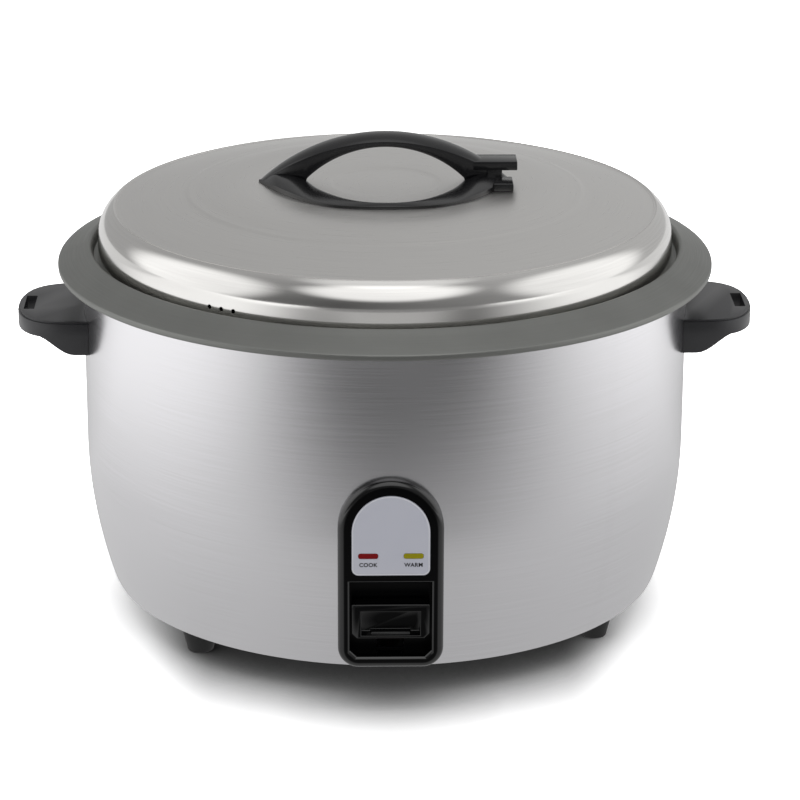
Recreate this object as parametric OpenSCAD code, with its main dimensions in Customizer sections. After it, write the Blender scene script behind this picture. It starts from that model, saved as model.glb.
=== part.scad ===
// Large drum rice cooker: drum, lift-out pot, loose lid, and the cook lever with its magnetic thermostat.
// Millimetres. Z is up, the floor is z = 0 and the cooker's axis is the Z axis. The front faces -Y.

/* [Drum] */
// Outside radius of the drum's straight wall
drum_r = 185; // [165:0.5:205]
// Thickness of the drum's sheet
drum_t = 1; // [0.8:0.1:1.4]
// Height of the drum, from its bottom edge to its top edge
drum_h = 205.9; // [195:0.1:215]
// Height of the curved belly above the bottom edge
belly_h = 90; // [60:1:100]
// Radius of the belly's curve, seen from the side
belly_r = 283; // [200:1:320]
// Width of the hem that is turned in at the bottom
hem_w = 8; // [5:0.5:9]

/* [Feet and base] */
// Height of the drum's bottom edge above the floor
foot_h = 20; // [16:0.5:24]
// Radius of a foot at its top
foot_r = 12; // [10:0.5:12.5]
// Radius of a foot where it meets the floor
foot_tip_r = 8; // [7.5:0.5:10]
// Gap between a foot and the hem of the drum
foot_gap = 1.3; // [1:0.1:20]
// Angle of the front feet from straight ahead
foot_angle = 54; // [48:1:60]
// Angle that all the feet are turned to the right of the panel
foot_turn = 4.4; // [0:0.2:8]
// Thickness of the base plate
base_t = 1; // [0.8:0.1:1.5]

/* [Pot] */
// How far the pot's flange reaches beyond the drum
flange_out = 15; // [10:0.5:20]
// Width of the flange, from its edge to the ridge
flange_w = 19; // [15:0.5:20]
// Rise of the flange from its outer edge to the ridge
flange_rise = 9; // [7:0.5:11]
// Height of the flange's turned-down edge
flange_edge_h = 4; // [3:0.5:6]
// Depth of the ledge that carries the lid, below the ridge
ledge_depth = 7.4; // [5:0.2:8]
// Width of the ledge, from the ridge to the outside of the pot's wall
ledge_w = 9; // [7:0.5:12]
// Taper of the pot's wall, as radius lost at the bottom
pot_taper = 4; // [0:0.5:8]
// Radius of the pot's bottom corner
pot_corner_r = 34; // [24:1:42]
// Thickness of the pot's wall
pot_t = 2.2; // [1.8:0.1:2.6]

/* [Lid] */
// Gap between the lid's skirt and the pot's ridge
lid_gap = 3.3; // [1.5:0.1:4]
// Thickness of the lid's sheet
lid_t = 1; // [0.8:0.1:1.2]
// Width of the lid's round shoulder, from the skirt to the crease
shoulder_w = 9.5; // [8:0.5:12]
// Height of the crease above the ledge
crease_h = 31; // [28:0.5:34]
// Height of the straight skirt
skirt_h = 14; // [11:0.5:16]
// Distance of the pressed ring in the lid's top from the crease
bead_in = 48; // [40:1:56]
// Height of the lid's middle above the ledge
lid_h = 43.5; // [42:0.5:46]
// Radius of a steam hole
steam_hole_r = 1.6; // [1:0.1:2.2]

/* [Lid handle] */
// Half of the handle's length
grip_half = 77; // [70:1:82]
// Height of the grip above the lid
grip_h = 31; // [28:0.5:36]
// Half of the finger opening's length
finger_half = 49; // [44:1:52]
// Clear height of the finger opening
finger_h = 24.5; // [22:0.5:26]
// Depth of the grip, front to back
grip_d = 22; // [18:0.5:26]
// How far the front lip reaches forward
lip_reach = 62; // [56:1:66]

/* [Side handles] */
// How far a side handle reaches beyond the drum
handle_out = 40.5; // [35:0.5:48]
// Half of a side handle's width at the drum
handle_half = 42; // [37:1:47]
// Height of a side handle's top above the floor
handle_z = 190.5; // [180:0.5:194]
// Thickness of a side handle's rim
handle_t = 10; // [9:0.5:12]
// Depth of a side handle's gusset below its rim
gusset_h = 11; // [10:0.5:16]
// Width of the slot in a side handle
slot_w = 6.5; // [5:0.5:8]
// Length of the slot in a side handle
slot_len = 27; // [22:0.5:30]
// Width of the bar between the slot and the handle's tip
slot_bar = 4; // [3:0.5:5]

/* [Control panel] */
// Width of the control panel
panel_w = 61; // [58:0.5:66]
// Height of the control panel's top above the floor
panel_top = 143.2; // [138:0.2:150]
// Height of the control panel's bottom above the floor
panel_bottom = 27.6; // [26:0.2:29.5]
// How far the panel's face stands out from the drum
panel_out = 6; // [5:0.5:8]
// Wall of the control panel
panel_wall = 2.4; // [2:0.1:3]
// Width of the label plate
label_w = 44.9; // [38:0.1:46]
// Width of the lever's recess
recess_w = 47; // [44:0.5:48]
// Height of the lever's recess
recess_h = 46.1; // [42:0.1:47]

/* [Cook lever] */
// Angle that the lever turns when it is pressed
press_angle = 6; // [4:0.5:6.5]
// Distance of the lever's pivot in front of the cooker's axis
pivot_y = 90; // [80:1:95]
// Radius of the lever's pivot pin
pivot_r = 2; // [1.5:0.1:2.5]
// Height of the lever's paddle
paddle_h = 21; // [19:0.5:22]

/* [Heater and thermostat] */
// Radius of the heating plate
plate_r = 120; // [112:1:126]
// Thickness of the heating plate
plate_t = 14; // [12:0.5:15]
// Height of the heating plate's face above the floor
plate_z = 70; // [69:0.5:72]
// Radius of the heater's ring
heater_ring_r = 88; // [82:1:94]
// Radius of the heater's tube
heater_tube_r = 4; // [3:0.25:4.5]
// Radius of the thermostat's cap
sensor_r = 17; // [15:0.5:18]
// Travel of the thermostat's cap
sensor_travel = 2; // [1:0.25:2.5]
// Radius of the magnet
magnet_r = 11; // [9:0.5:12]

/* [Power inlet] */
// Width of the inlet's opening
inlet_w = 24.5; // [23:0.5:26]
// Height of the inlet's opening
inlet_h = 16.5; // [15:0.5:17]
// Depth of the inlet's opening
inlet_d = 18; // [16:0.5:20]

/* [Hidden] */

// Clearances
seat_gap = 0.3;          // between pieces that rest on each other but belong to different bodies
fit_gap = 0.05;          // round a pin or a screw
skin_gap = 0.1;          // between a fitted piece and the drum

// Radii that follow from the drum
flange_r = drum_r + flange_out;
ridge_r = flange_r - flange_w;
pot_r = ridge_r - ledge_w;
lid_r = ridge_r - pot_t - lid_gap;
crease_r = lid_r - shoulder_w;
bead_r = crease_r - bead_in;
handle_reach = drum_r + handle_out;
panel_face = drum_r + panel_out;

// Heights that follow from the stack
drum_top = foot_h + drum_h;
belly_top = foot_h + belly_h;
drum_bottom_r = drum_r - belly_r + sqrt(pow(belly_r, 2) - pow(belly_h, 2));
foot_circle_r = drum_bottom_r - hem_w - foot_gap - foot_r;
base_z = foot_h + drum_t;
base_top = base_z + base_t;
plate_under = plate_z - plate_t;
pot_floor = plate_z + seat_gap;

// Pot flange
flange_slope = flange_rise / (flange_r - ridge_r);
flange_tilt = atan(flange_slope);
rim_seat_gap = 0.5;
flange_edge_z = drum_top + rim_seat_gap + pot_t / cos(flange_tilt) - flange_slope * (flange_r - drum_r);
ridge_z = flange_edge_z + flange_rise;
ledge_z = ridge_z - ledge_depth;

// Lid
lid_foot_z = ledge_z + seat_gap;
crease_z = ledge_z + crease_h;
lid_top = ledge_z + lid_h;

// Small hardware
screw_r = 2;
head_r = 4;
head_h = 2.4;
nut_r = 4.4;
nut_h = 3;

$fn = 64;
ROUND = 180;             // facets of the large round pieces

// ---- helpers -------------------------------------------------------------------------------------

function arc(c, r, from, to, n) = [for (i = [0:n]) let (a = from + (to - from) * i / n) c + r * [cos(a), sin(a)]];
function unit(v) = v / norm(v);
function left_of(p, i) = let (d = unit(p[i + 1] - p[i])) [-d[1], d[0]];
function last(p) = len(p) - 1;
function reversed(p) = [for (i = [last(p):-1:0]) p[i]];

// The line beside p, t to the left of it, with mitred corners
function beside(p, t) = [
    for (i = [0:last(p)])
        let (a = left_of(p, max(i - 1, 0)), b = left_of(p, min(i, last(p) - 1)), m = unit(a + b))
        p[i] + m * t / (m * a)
];

// A sheet of thickness t whose right-hand face follows p
function sheet(p, t) = concat(p, reversed(beside(p, t)));

module lathe(profile) rotate_extrude($fn = ROUND) polygon(profile);

// A shape drawn in X and Z, given a depth along Y from y0 to y1
module slab_y(y0, y1) translate([0, y1, 0]) rotate([90, 0, 0]) linear_extrude(height = y1 - y0) children();

// A shape drawn in Y and Z, given a width along X from x0 to x1
module slab_x(x0, x1) translate([x0, 0, 0]) rotate([90, 0, 90]) linear_extrude(height = x1 - x0) children();

module box(from, to) translate(from) cube(to - from);

module ring(r_out, r_in, h) difference() {
    cylinder(r = r_out, h = h);
    translate([0, 0, -1]) cylinder(r = r_in, h = h + 2);
}

// A pan-head screw that stands on its head at z = 0, with its shank upwards
module screw(length, r = screw_r, hr = head_r, hh = head_h) union() {
    cylinder(r = hr, h = hh);
    translate([0, 0, hh]) cylinder(r = r, h = length);
}

// A tube swept along points, its ends square to the path
function along(p, i) = unit(p[min(i + 1, last(p))] - p[max(i - 1, 0)]);
function sideways(t) = unit(cross(t, abs(t[2]) < 0.9 ? [0, 0, 1] : [1, 0, 0]));
function hoop(p, i, r, sides) =
    let (t = along(p, i), u = sideways(t), v = cross(t, u))
    [for (k = [0:sides - 1]) let (a = 360 * k / sides) p[i] + r * (u * cos(a) + v * sin(a))];

module swept_tube(p, r, sides = 8) {
    points = [for (i = [0:last(p)]) each hoop(p, i, r, sides)];
    walls = [
        for (i = [0:last(p) - 1], k = [0:sides - 1])
            let (n = (k + 1) % sides, a = i * sides, b = a + sides)
            [a + k, b + k, b + n, a + n]
    ];
    first_cap = [[for (k = [0:sides - 1]) k]];
    last_cap = [[for (k = [sides - 1:-1:0]) last(p) * sides + k]];
    polyhedron(points = points, faces = concat(walls, first_cap, last_cap), convexity = 6);
}

// Points along a coil spring, with flat turns at both ends
function coil_points(r, z0, z1, turns, per_turn) = [
    for (i = [0:turns * per_turn])
        let (s = i / (turns * per_turn), a = 360 * turns * s, rise = min(max((s * turns - 0.4) / (turns - 0.8), 0), 1))
        [r * cos(a), r * sin(a), z0 + (z1 - z0) * rise]
];

// A smooth curve through the chosen points of a wire
function blend4(a, b, c, d, t) = 0.5 * (2 * b + (c - a) * t + (2 * a - 5 * b + 4 * c - d) * t * t
    + (3 * b - a - 3 * c + d) * t * t * t);
function smooth(p, n) = concat(
    [for (i = [0:last(p) - 1], k = [0:n - 1])
        blend4(p[max(i - 1, 0)], p[i], p[i + 1], p[min(i + 2, last(p))], k / n)],
    [p[last(p)]]
);

// ---- drum, base and feet ---------------------------------------------------------------------------

belly_angle = asin(belly_h / belly_r);
drum_outline = concat(
    [[drum_bottom_r - hem_w, foot_h]],
    arc([drum_r - belly_r, belly_top], belly_r, -belly_angle, 0, 16),
    [[drum_r, drum_top]]
);
window_w = recess_w + 2 * panel_wall + 2;
window_z = panel_bottom + 1.5;
inlet_wall = 3;
inlet_z = base_top + inlet_h / 2 + inlet_wall + 1;
handle_screw_z = handle_z - handle_t - gusset_h / 2;
handle_screw_y = handle_half / 2;

// Everything inside the drum's outer face, grown by a gap
module drum_body(gap) rotate_extrude($fn = ROUND) polygon(concat(
    [[0, foot_h - gap]],
    beside([for (i = [1:last(drum_outline)]) drum_outline[i]], -gap),
    [[0, drum_top]]
));

module drum_shell() color("silver") difference() {
    lathe(sheet(drum_outline, drum_t));
    box([-window_w / 2, -drum_r - 5, window_z], [window_w / 2, -drum_bottom_r / 2, panel_top - panel_w / 3]);
    box([-inlet_w / 2 - inlet_wall - skin_gap, drum_bottom_r / 2, inlet_z - inlet_h / 2 - inlet_wall - skin_gap],
        [inlet_w / 2 + inlet_wall + skin_gap, drum_r + 5, inlet_z + inlet_h / 2 + inlet_wall + skin_gap]);
    for (side = [-1, 1], y = [-handle_screw_y, handle_screw_y])
        translate([0, y, handle_screw_z]) rotate([0, side * 90, 0]) cylinder(r = screw_r + fit_gap, h = drum_r + 5);
    for (p = panel_screw_places)
        translate([p[0], 0, p[1]]) rotate([90, 0, 0]) cylinder(r = screw_r + fit_gap, h = drum_r + 5);
    for (x = [-inlet_screw_x, inlet_screw_x])
        translate([x, 0, inlet_z]) rotate([-90, 0, 0]) cylinder(r = screw_r + fit_gap, h = drum_r + 5);
}

base_r = drum_bottom_r - drum_t - 0.6;
foot_places = [for (sx = [-1, 1], sy = [-1, 1])
    let (a = (sy < 0 ? 1 : -1) * (sx * foot_angle) + foot_turn)
    [sy * -foot_circle_r * sin(a), sy * foot_circle_r * cos(a)]];
leg_circle_r = plate_r - 16;
leg_r = 6;
leg_places = [for (a = [90, 210, 330]) leg_circle_r * [cos(a), sin(a)]];
vent_rings = [58, 74];
vent_count = 16;

module base_plate() color("gainsboro") difference() {
    translate([0, 0, base_z]) cylinder(r = base_r, h = base_t, $fn = ROUND);
    for (p = foot_places) translate([p[0], p[1], base_z - 1]) cylinder(r = screw_r + fit_gap, h = base_t + 2);
    for (p = leg_places) translate([p[0], p[1], base_z - 1]) cylinder(r = screw_r + fit_gap, h = base_t + 2);
    for (r = vent_rings, i = [0:vent_count - 1])
        rotate(i * 360 / vent_count + 180 / vent_count) translate([r, 0, base_z - 1]) cylinder(r = 3, h = base_t + 2);
    for (p = lever_screw_places) translate([p[0], p[1], base_z - 1]) cylinder(r = 1.5 + fit_gap, h = base_t + 2);
}

foot_bore_r = screw_r + fit_gap;
foot_recess_h = 8;
foot_round = 1.5;

module foot(place) translate([place[0], place[1], 0]) color("#1b1b1d") difference() {
    lathe_foot();
    translate([0, 0, -1]) cylinder(r = foot_bore_r, h = base_z + 2);
    translate([0, 0, -1]) cylinder(r = head_r + 0.4, h = foot_recess_h + 1);
}

module lathe_foot() rotate_extrude($fn = 72) polygon(concat(
    [[0, 0]],
    arc([foot_tip_r - foot_round, foot_round], foot_round, -90, -20, 6),
    [[foot_r, base_z - 4], [foot_r, base_z], [0, base_z]]
));

module foot_screws() color("silver") for (p = foot_places)
    translate([p[0], p[1], foot_recess_h - head_h]) screw(base_top + nut_h + 1 - foot_recess_h);

module foot_nuts() color("silver") for (p = foot_places)
    translate([p[0], p[1], base_top]) difference() {
        cylinder(r = nut_r, h = nut_h, $fn = 6);
        translate([0, 0, -1]) cylinder(r = screw_r + fit_gap, h = nut_h + 2);
    }

// ---- liner ------------------------------------------------------------------------------------------

liner_t = 0.8;
liner_r = pot_r + 2.5;
liner_floor_z = plate_under - 4;
liner_top = ledge_z - pot_t - 4;
liner_hole_r = plate_r + 10;

module inner_liner() color("lightgray") lathe(sheet([
    [liner_hole_r, liner_floor_z],
    [liner_r - 6, liner_floor_z],
    [liner_r, liner_floor_z + 6],
    [liner_r, liner_top],
    [drum_r - drum_t - 0.2, liner_top]
], liner_t));

// ---- side handles -----------------------------------------------------------------------------------

slot_x = handle_reach - slot_bar - slot_w;
handle_skin = 3;
handle_edge = 1.2;
gusset_foot = 4;
gusset_run = 24;

// Half of the handle's width at each distance from the drum: nearly straight sides and a round nose
handle_steps = [for (i = [0:12]) sin(90 * i / 12)];
function nose(inset) = [for (s = handle_steps)
    [drum_r + (handle_out - inset) * s, (handle_half - inset) * pow(max(1 - pow(s, 3), 0), 0.4)]];
function handle_plan(inset) = let (n = nose(inset)) concat(
    [[drum_r - 14, -handle_half + inset]],
    [for (p = n) [p[0], -p[1]]],
    reversed([for (i = [0:last(n) - 1]) n[i]]),
    [[drum_r - 14, handle_half - inset]]
);
handle_under = handle_z - handle_t;
gusset_profile = concat(
    [[drum_r - 14, handle_under + 1], [drum_r - 14, handle_under - gusset_h]],
    [[drum_r + gusset_foot, handle_under - gusset_h]],
    [for (i = [1:8]) let (s = i / 8)
        [drum_r + gusset_foot + gusset_run * s, handle_under - gusset_h * (0.5 + 0.5 * cos(180 * s))]],
    [[drum_r + gusset_foot + gusset_run, handle_under + 1]]
);

// The handle on the +X side
module side_handle() color("#232326") difference() {
    union() {
        translate([0, 0, handle_under]) linear_extrude(height = handle_t - handle_edge) polygon(handle_plan(0));
        translate([0, 0, handle_z - handle_edge]) linear_extrude(height = handle_edge) polygon(handle_plan(handle_edge));
        intersection() {
            slab_y(-handle_half + 1, handle_half - 1) polygon(gusset_profile);
            translate([0, 0, handle_under - gusset_h - 1]) linear_extrude(height = gusset_h + 2)
                polygon(handle_plan(1));
        }
    }
    cylinder(r = drum_r + skin_gap, h = handle_z + 20, $fn = ROUND);
    box([slot_x, -slot_len / 2, handle_under - 1], [slot_x + slot_w, slot_len / 2, handle_z + 1]);
    box([drum_r + 10, -slot_len / 2 - 1, handle_under - gusset_h - 1],
        [slot_x - handle_skin, slot_len / 2 + 1, handle_z - handle_skin - 1]);
    for (y = [-handle_screw_y, handle_screw_y])
        translate([drum_r - 12, y, handle_screw_z]) rotate([0, 90, 0]) cylinder(r = screw_r + fit_gap, h = 19);
}

module handle_fixings(side) for (y = [-handle_screw_y, handle_screw_y])
    translate([side * (drum_r - drum_t - washer_t - handle_screw_sag - head_h), y, handle_screw_z])
        rotate([0, side * 90, 0]) children();

washer_t = 1;
washer_r = 5.5;
// The drum's wall curves away from a flat washer by this much at the screw
handle_screw_sag = drum_r - drum_t - sqrt(pow(drum_r - drum_t, 2) - pow(handle_screw_y + washer_r, 2)) + fit_gap;

module side_handle_screws() color("silver") for (side = [-1, 1])
    handle_fixings(side) screw(washer_t + handle_screw_sag + drum_t + 6);

module side_handle_washers() color("gainsboro") for (side = [-1, 1])
    handle_fixings(side) translate([0, 0, head_h]) ring(washer_r, screw_r + fit_gap, washer_t);

// ---- control panel ------------------------------------------------------------------------------------

panel_half = panel_w / 2;
panel_corner_r = 12;
panel_round = 3;
label_bottom = 85.8;
label_top = 134.3;
label_t = 0.8;
lens_w = 11.4;
lens_h = 3.2;
lens_x = 13;
lens_z = 97.7;
lens_d = 5;
recess_top = panel_bottom + 53.2;
recess_bottom = recess_top - recess_h;
recess_back = panel_face - 13;
recess_chamfer = 4;
arm_slot_w = 16;
panel_boss_z = 88;
panel_boss_r = screw_r + 1.6;
panel_screw_places = [for (side = [-1, 1]) [side * (panel_half - 5.5), panel_boss_z]];

// Arch-topped outline, inset by a distance
function arched(half, top, bottom, corner, inset) = concat(
    arc([0, top - half], half - inset, 0, 180, 32),
    arc([-half + corner, bottom + corner], corner - inset, 180, 270, 8),
    arc([half - corner, bottom + corner], corner - inset, 270, 360, 8)
);
function panel_outline(inset) = arched(panel_half, panel_top, panel_bottom, panel_corner_r, inset);
function label_outline(inset) = arched(label_w / 2, label_top, label_bottom, 4, inset);
function recess_outline(inset) = let (w = recess_w / 2 + inset, c = recess_chamfer) [
    [-w, recess_top + inset], [-w, recess_bottom - inset + c], [-w + c, recess_bottom - inset],
    [w - c, recess_bottom - inset], [w, recess_bottom - inset + c], [w, recess_top + inset]
];

module lens_bars(grow, depth, y) for (side = [-1, 1]) lens_bar(side, grow, depth, y);
module lens_bar(side, grow, depth, y) translate([side * lens_x, y, lens_z]) rotate([90, 0, 0])
    linear_extrude(height = depth) square([lens_w + 2 * grow, lens_h + 2 * grow], center = true);

module control_panel() color("#101012") difference() {
    union() {
        difference() {
            union() {
                slab_y(-panel_face + panel_round, -drum_bottom_r * 0.8) polygon(panel_outline(0));
                hull() {
                    slab_y(-panel_face + panel_round, -panel_face + panel_round + 0.1) polygon(panel_outline(0));
                    slab_y(-panel_face, -panel_face + 0.1) polygon(panel_outline(panel_round));
                }
            }
            slab_y(-panel_face + panel_wall + 0.6, 0) polygon(panel_outline(panel_wall + 0.6));
        }
        slab_y(-panel_face + 1, -recess_back + panel_wall) polygon(recess_outline(panel_wall));
        for (p = panel_screw_places) translate([p[0], -panel_face + 1, p[1]]) rotate([-90, 0, 0])
            cylinder(r = panel_boss_r, h = panel_out + 1);
    }
    difference() {
        drum_body(skin_gap);
        box([-window_w / 2 + skin_gap, -panel_face, window_z + skin_gap],
            [window_w / 2 - skin_gap, -recess_back + panel_wall, panel_boss_z + panel_boss_r]);
    }
    slab_y(-panel_face - 1, -recess_back) polygon(recess_outline(0));
    box([-arm_slot_w / 2, -panel_face, recess_bottom + 1], [arm_slot_w / 2, 0, recess_bottom + 23]);
    slab_y(-panel_face - 1, -panel_face + label_t) polygon(label_outline(-0.15));
    lens_bars(0.1, 20, -panel_face + 10);
    for (p = panel_screw_places) translate([p[0], -panel_face + 3.2, p[1]]) rotate([-90, 0, 0])
        cylinder(r = screw_r + fit_gap, h = 40);
}

module label_plate() color("#b4b6c2") difference() {
    slab_y(-panel_face - 0.1, -panel_face + label_t - 0.05) polygon(label_outline(0));
    lens_bars(0.1, 20, -panel_face + 10);
}

module cook_lens() color("#8f0a10") lens_bar(-1, 0, lens_d, -panel_face - 0.5 + lens_d);
module warm_lens() color("#a89a12") lens_bar(1, 0, lens_d, -panel_face - 0.5 + lens_d);

lamp_r = 2.6;
lamp_l = 11;
lamp_y = -panel_face - 0.5 + lens_d + seat_gap + lamp_r;
module lamp(side) color("#e8e2d4") translate([side * lens_x - lamp_l / 2, lamp_y, lens_z]) rotate([0, 90, 0])
    cylinder(r = lamp_r, h = lamp_l);

module panel_screws() color("silver") for (p = panel_screw_places)
    translate([p[0], -panel_screw_seat + head_h, p[1]]) rotate([90, 0, 0]) screw(panel_face - 3.6 - panel_screw_seat);
// the drum's radius at the lowest edge of the panel screws' heads
panel_screw_r = drum_r - belly_r + sqrt(pow(belly_r, 2) - pow(max(belly_top - panel_boss_z + head_r, 0), 2));
panel_screw_seat = sqrt(pow(panel_screw_r - drum_t, 2) - pow(panel_half - 5.5 + head_r, 2)) - fit_gap;

// ---- heating plate --------------------------------------------------------------------------------------

heater_terminal_a = 14;
sensor_hole_r = sensor_r + 1;
groove_depth = heater_tube_r * 1.6;

module heating_plate() color("lightgray") difference() {
    translate([0, 0, plate_under]) rotate_extrude($fn = ROUND) polygon([
        [sensor_hole_r, 0], [plate_r - 4, 0], [plate_r, 4], [plate_r, plate_t - 2], [plate_r - 2, plate_t],
        [sensor_hole_r + 1, plate_t], [sensor_hole_r, plate_t - 1]
    ]);
    translate([0, 0, plate_under]) rotate_extrude($fn = ROUND) translate([heater_ring_r - heater_tube_r - 0.1, -1])
        square([2 * heater_tube_r + 0.2, groove_depth + 1]);
    for (p = leg_places) translate([p[0], p[1], plate_under - 1]) cylinder(r = screw_r + fit_gap, h = 9);
    for (p = sensor_screw_places) translate([p[0], p[1], plate_under - 1]) cylinder(r = 1.5 + fit_gap, h = 8);
    translate([warm_place[0], warm_place[1], plate_under - 1]) cylinder(r = 1.5 + fit_gap, h = 7);
    translate([fuse_place[0], fuse_place[1], plate_under - 1]) cylinder(r = 1.5 + fit_gap, h = 7);
}

heater_z = plate_under + groove_depth - heater_tube_r - 0.05;

module heater_tube() color("dimgray") union() {
    translate([0, 0, heater_z]) rotate(90 + heater_terminal_a) rotate_extrude(angle = 360 - 2 * heater_terminal_a, $fn = ROUND)
        translate([heater_ring_r, 0]) circle(r = heater_tube_r, $fn = 32);
    for (side = [-1, 1]) rotate(90 + side * heater_terminal_a) translate([heater_ring_r, 0, plate_under - 12])
        cylinder(r = heater_tube_r * 0.7, h = heater_z - plate_under + 12);
}

module plate_legs() color("gray") for (p = leg_places)
    translate([p[0], p[1], base_top]) ring(leg_r, screw_r + fit_gap, plate_under - base_top);

module plate_screws() color("silver") for (p = leg_places)
    translate([p[0], p[1], base_z - head_h]) screw(plate_under - base_z + 6);

// ---- cook lever -----------------------------------------------------------------------------------------------

pivot_z = base_top + 9;
lever_t = 2.4;
lever_w = 10;
lever_tip_y = 4;
lever_low_z = base_top + 5.5;
lever_top_z = lever_low_z + lever_t;
paddle_half = recess_w / 2 - 1;
paddle_front = panel_face - 1;
paddle_back = paddle_front - 10;
paddle_bottom = recess_bottom + (paddle_front - pivot_y) * sin(press_angle) + 1;
paddle_chamfer = 3;
paddle_top = paddle_bottom + paddle_h;
pocket_half = 17;
lip_half = 11.3;
pocket_d = 7.5;
arm_root_z = paddle_bottom + 4;

// The arm's underside, from the magnet's end to the paddle
arm_line = [
    [lever_tip_y, lever_low_z], [-pivot_y + 8, lever_low_z], [-pivot_y - 8, lever_low_z + 3],
    [-paddle_back + 14, arm_root_z - 4], [-paddle_back - 1.5, arm_root_z]
];

module lever_arm() color("silver") difference() {
    union() {
        slab_x(-lever_w / 2, lever_w / 2) polygon(sheet(reversed(arm_line), lever_t));
        translate([-lever_w / 2, -pivot_y, pivot_z]) rotate([0, 90, 0]) cylinder(r = pivot_r + 3, h = lever_w);
    }
    translate([-lever_w, -pivot_y, pivot_z]) rotate([0, 90, 0]) cylinder(r = pivot_r + fit_gap, h = 2 * lever_w);
}

module lever_paddle() color("#0c0c0e") difference() {
    union() {
        difference() {
            slab_y(-paddle_front, -paddle_back) polygon([
                [-paddle_half, paddle_top], [-paddle_half, paddle_bottom + paddle_chamfer],
                [-paddle_half + paddle_chamfer, paddle_bottom], [paddle_half - paddle_chamfer, paddle_bottom],
                [paddle_half, paddle_bottom + paddle_chamfer], [paddle_half, paddle_top]
            ]);
            box([-pocket_half, -paddle_front - 1, paddle_bottom + 1.6],
                [pocket_half, -paddle_front + pocket_d, paddle_top - 4.5]);
        }
        box([-lip_half, -paddle_front + 2.5, paddle_bottom + 1],
            [lip_half, -paddle_front + pocket_d + 0.5, paddle_bottom + 3]);
    }
    slab_x(-lever_w / 2 - skin_gap, lever_w / 2 + skin_gap)
        polygon(sheet(beside(reversed(arm_line), -skin_gap), lever_t + 2 * skin_gap));
}

ear_x = lever_w / 2 + 0.5;
ear_t = 1.5;
lever_screw_places = [[-15, -pivot_y], [15, -pivot_y]];

module lever_pin() color("silver") union() {
    translate([-ear_x - ear_t - 0.5, -pivot_y, pivot_z]) rotate([0, 90, 0]) cylinder(r = pivot_r, h = 2 * (ear_x + ear_t + 0.5));
    for (side = [-1, 1]) translate([side * (ear_x + ear_t + 0.1), -pivot_y, pivot_z])
        rotate([0, side * 90, 0]) cylinder(r = pivot_r + 1.2, h = 1);
}

module lever_bracket() color("gray") difference() {
    union() {
        box([-20, -pivot_y - 6, base_top], [20, -pivot_y + 6, base_top + ear_t]);
        for (side = [-1, 1]) mirror([side < 0 ? 1 : 0, 0, 0]) slab_x(ear_x, ear_x + ear_t)
            polygon(concat([[-pivot_y - 6, base_top], [-pivot_y + 6, base_top]], arc([-pivot_y, pivot_z], 6, 0, 180, 16)));
    }
    translate([-20, -pivot_y, pivot_z]) rotate([0, 90, 0]) cylinder(r = pivot_r + 0.02, h = 40);
    for (p = lever_screw_places) translate([p[0], p[1], base_top - 1]) cylinder(r = 1.5 + fit_gap, h = 4);
}

module lever_bracket_screws() color("silver") for (p = lever_screw_places)
    translate([p[0], p[1], base_z - 1.6]) screw(base_t + ear_t + 2, 1.5, 3, 1.6);

// ---- magnetic thermostat -----------------------------------------------------------------------------------

bracket_t = 1.5;
bracket_z = plate_under - 11.5;
bracket_half = 34;
sensor_screw_places = [[-bracket_half + 5, 0], [bracket_half - 5, 0]];
rod_r = 2.5;
lift = (pivot_y + lever_tip_y) * tan(press_angle);
magnet_z = bracket_z + bracket_t + 0.5;
magnet_t = 6;
sensor_top = plate_z;
sensor_lid_t = 2.5;
sensor_skirt_z = plate_under + 1;
ferrite_bottom = magnet_z + magnet_t + lift + sensor_travel + seat_gap;
ferrite_top = sensor_top - sensor_lid_t - 0.1;
sensor_wall = 1.2;
spring_wire_r = 0.75;
sensor_spring_r = sensor_r - spring_wire_r - 0.3;
rod_bottom = lever_top_z + seat_gap;
rod_collar_r = 6;
rod_collar_t = 1.5;
magnet_spring_r = rod_r + 0.6 + 0.8;

// A strip that hangs under the plate on two posts and guides the magnet's rod
module sensor_bracket() color("silver") difference() {
    union() {
        box([-bracket_half, -9, bracket_z], [bracket_half, 9, bracket_z + bracket_t]);
        translate([0, 0, bracket_z]) cylinder(r = sensor_r + 3, h = bracket_t);
        for (p = sensor_screw_places) translate([p[0], p[1], bracket_z]) cylinder(r = 4, h = plate_under - bracket_z);
    }
    translate([0, 0, bracket_z - 1]) cylinder(r = rod_r + fit_gap, h = bracket_t + 2);
    for (p = sensor_screw_places) translate([p[0], p[1], bracket_z - 1]) cylinder(r = 1.5 + fit_gap, h = 40);
}

module sensor_bracket_screws() color("silver") for (p = sensor_screw_places)
    translate([p[0], p[1], bracket_z - 1.6]) screw(plate_under - bracket_z + 5.5, 1.5, 3, 1.6);

module sensor_cap() color("silver") difference() {
    union() {
        translate([0, 0, sensor_skirt_z]) cylinder(r = sensor_r, h = sensor_top - sensor_skirt_z - 1);
        translate([0, 0, sensor_top - 1]) cylinder(r1 = sensor_r, r2 = sensor_r - 1, h = 1);
    }
    translate([0, 0, sensor_skirt_z - 1]) cylinder(r = sensor_r - sensor_wall, h = sensor_top - sensor_lid_t - sensor_skirt_z + 1);
}

module sensor_ferrite() color("#3a3a3c") translate([0, 0, ferrite_bottom])
    cylinder(r = magnet_r + 2, h = ferrite_top - ferrite_bottom);

module sensor_spring() color("gray") swept_tube(
    coil_points(sensor_spring_r, bracket_z + bracket_t + spring_wire_r, sensor_skirt_z - spring_wire_r - 0.05, 4, 18),
    spring_wire_r, 6);

module magnet() color("#2c2c2e") difference() {
    translate([0, 0, magnet_z]) cylinder(r = magnet_r, h = magnet_t);
    translate([0, 0, magnet_z - 1]) cylinder(r = rod_r + fit_gap, h = magnet_t);
}

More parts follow.
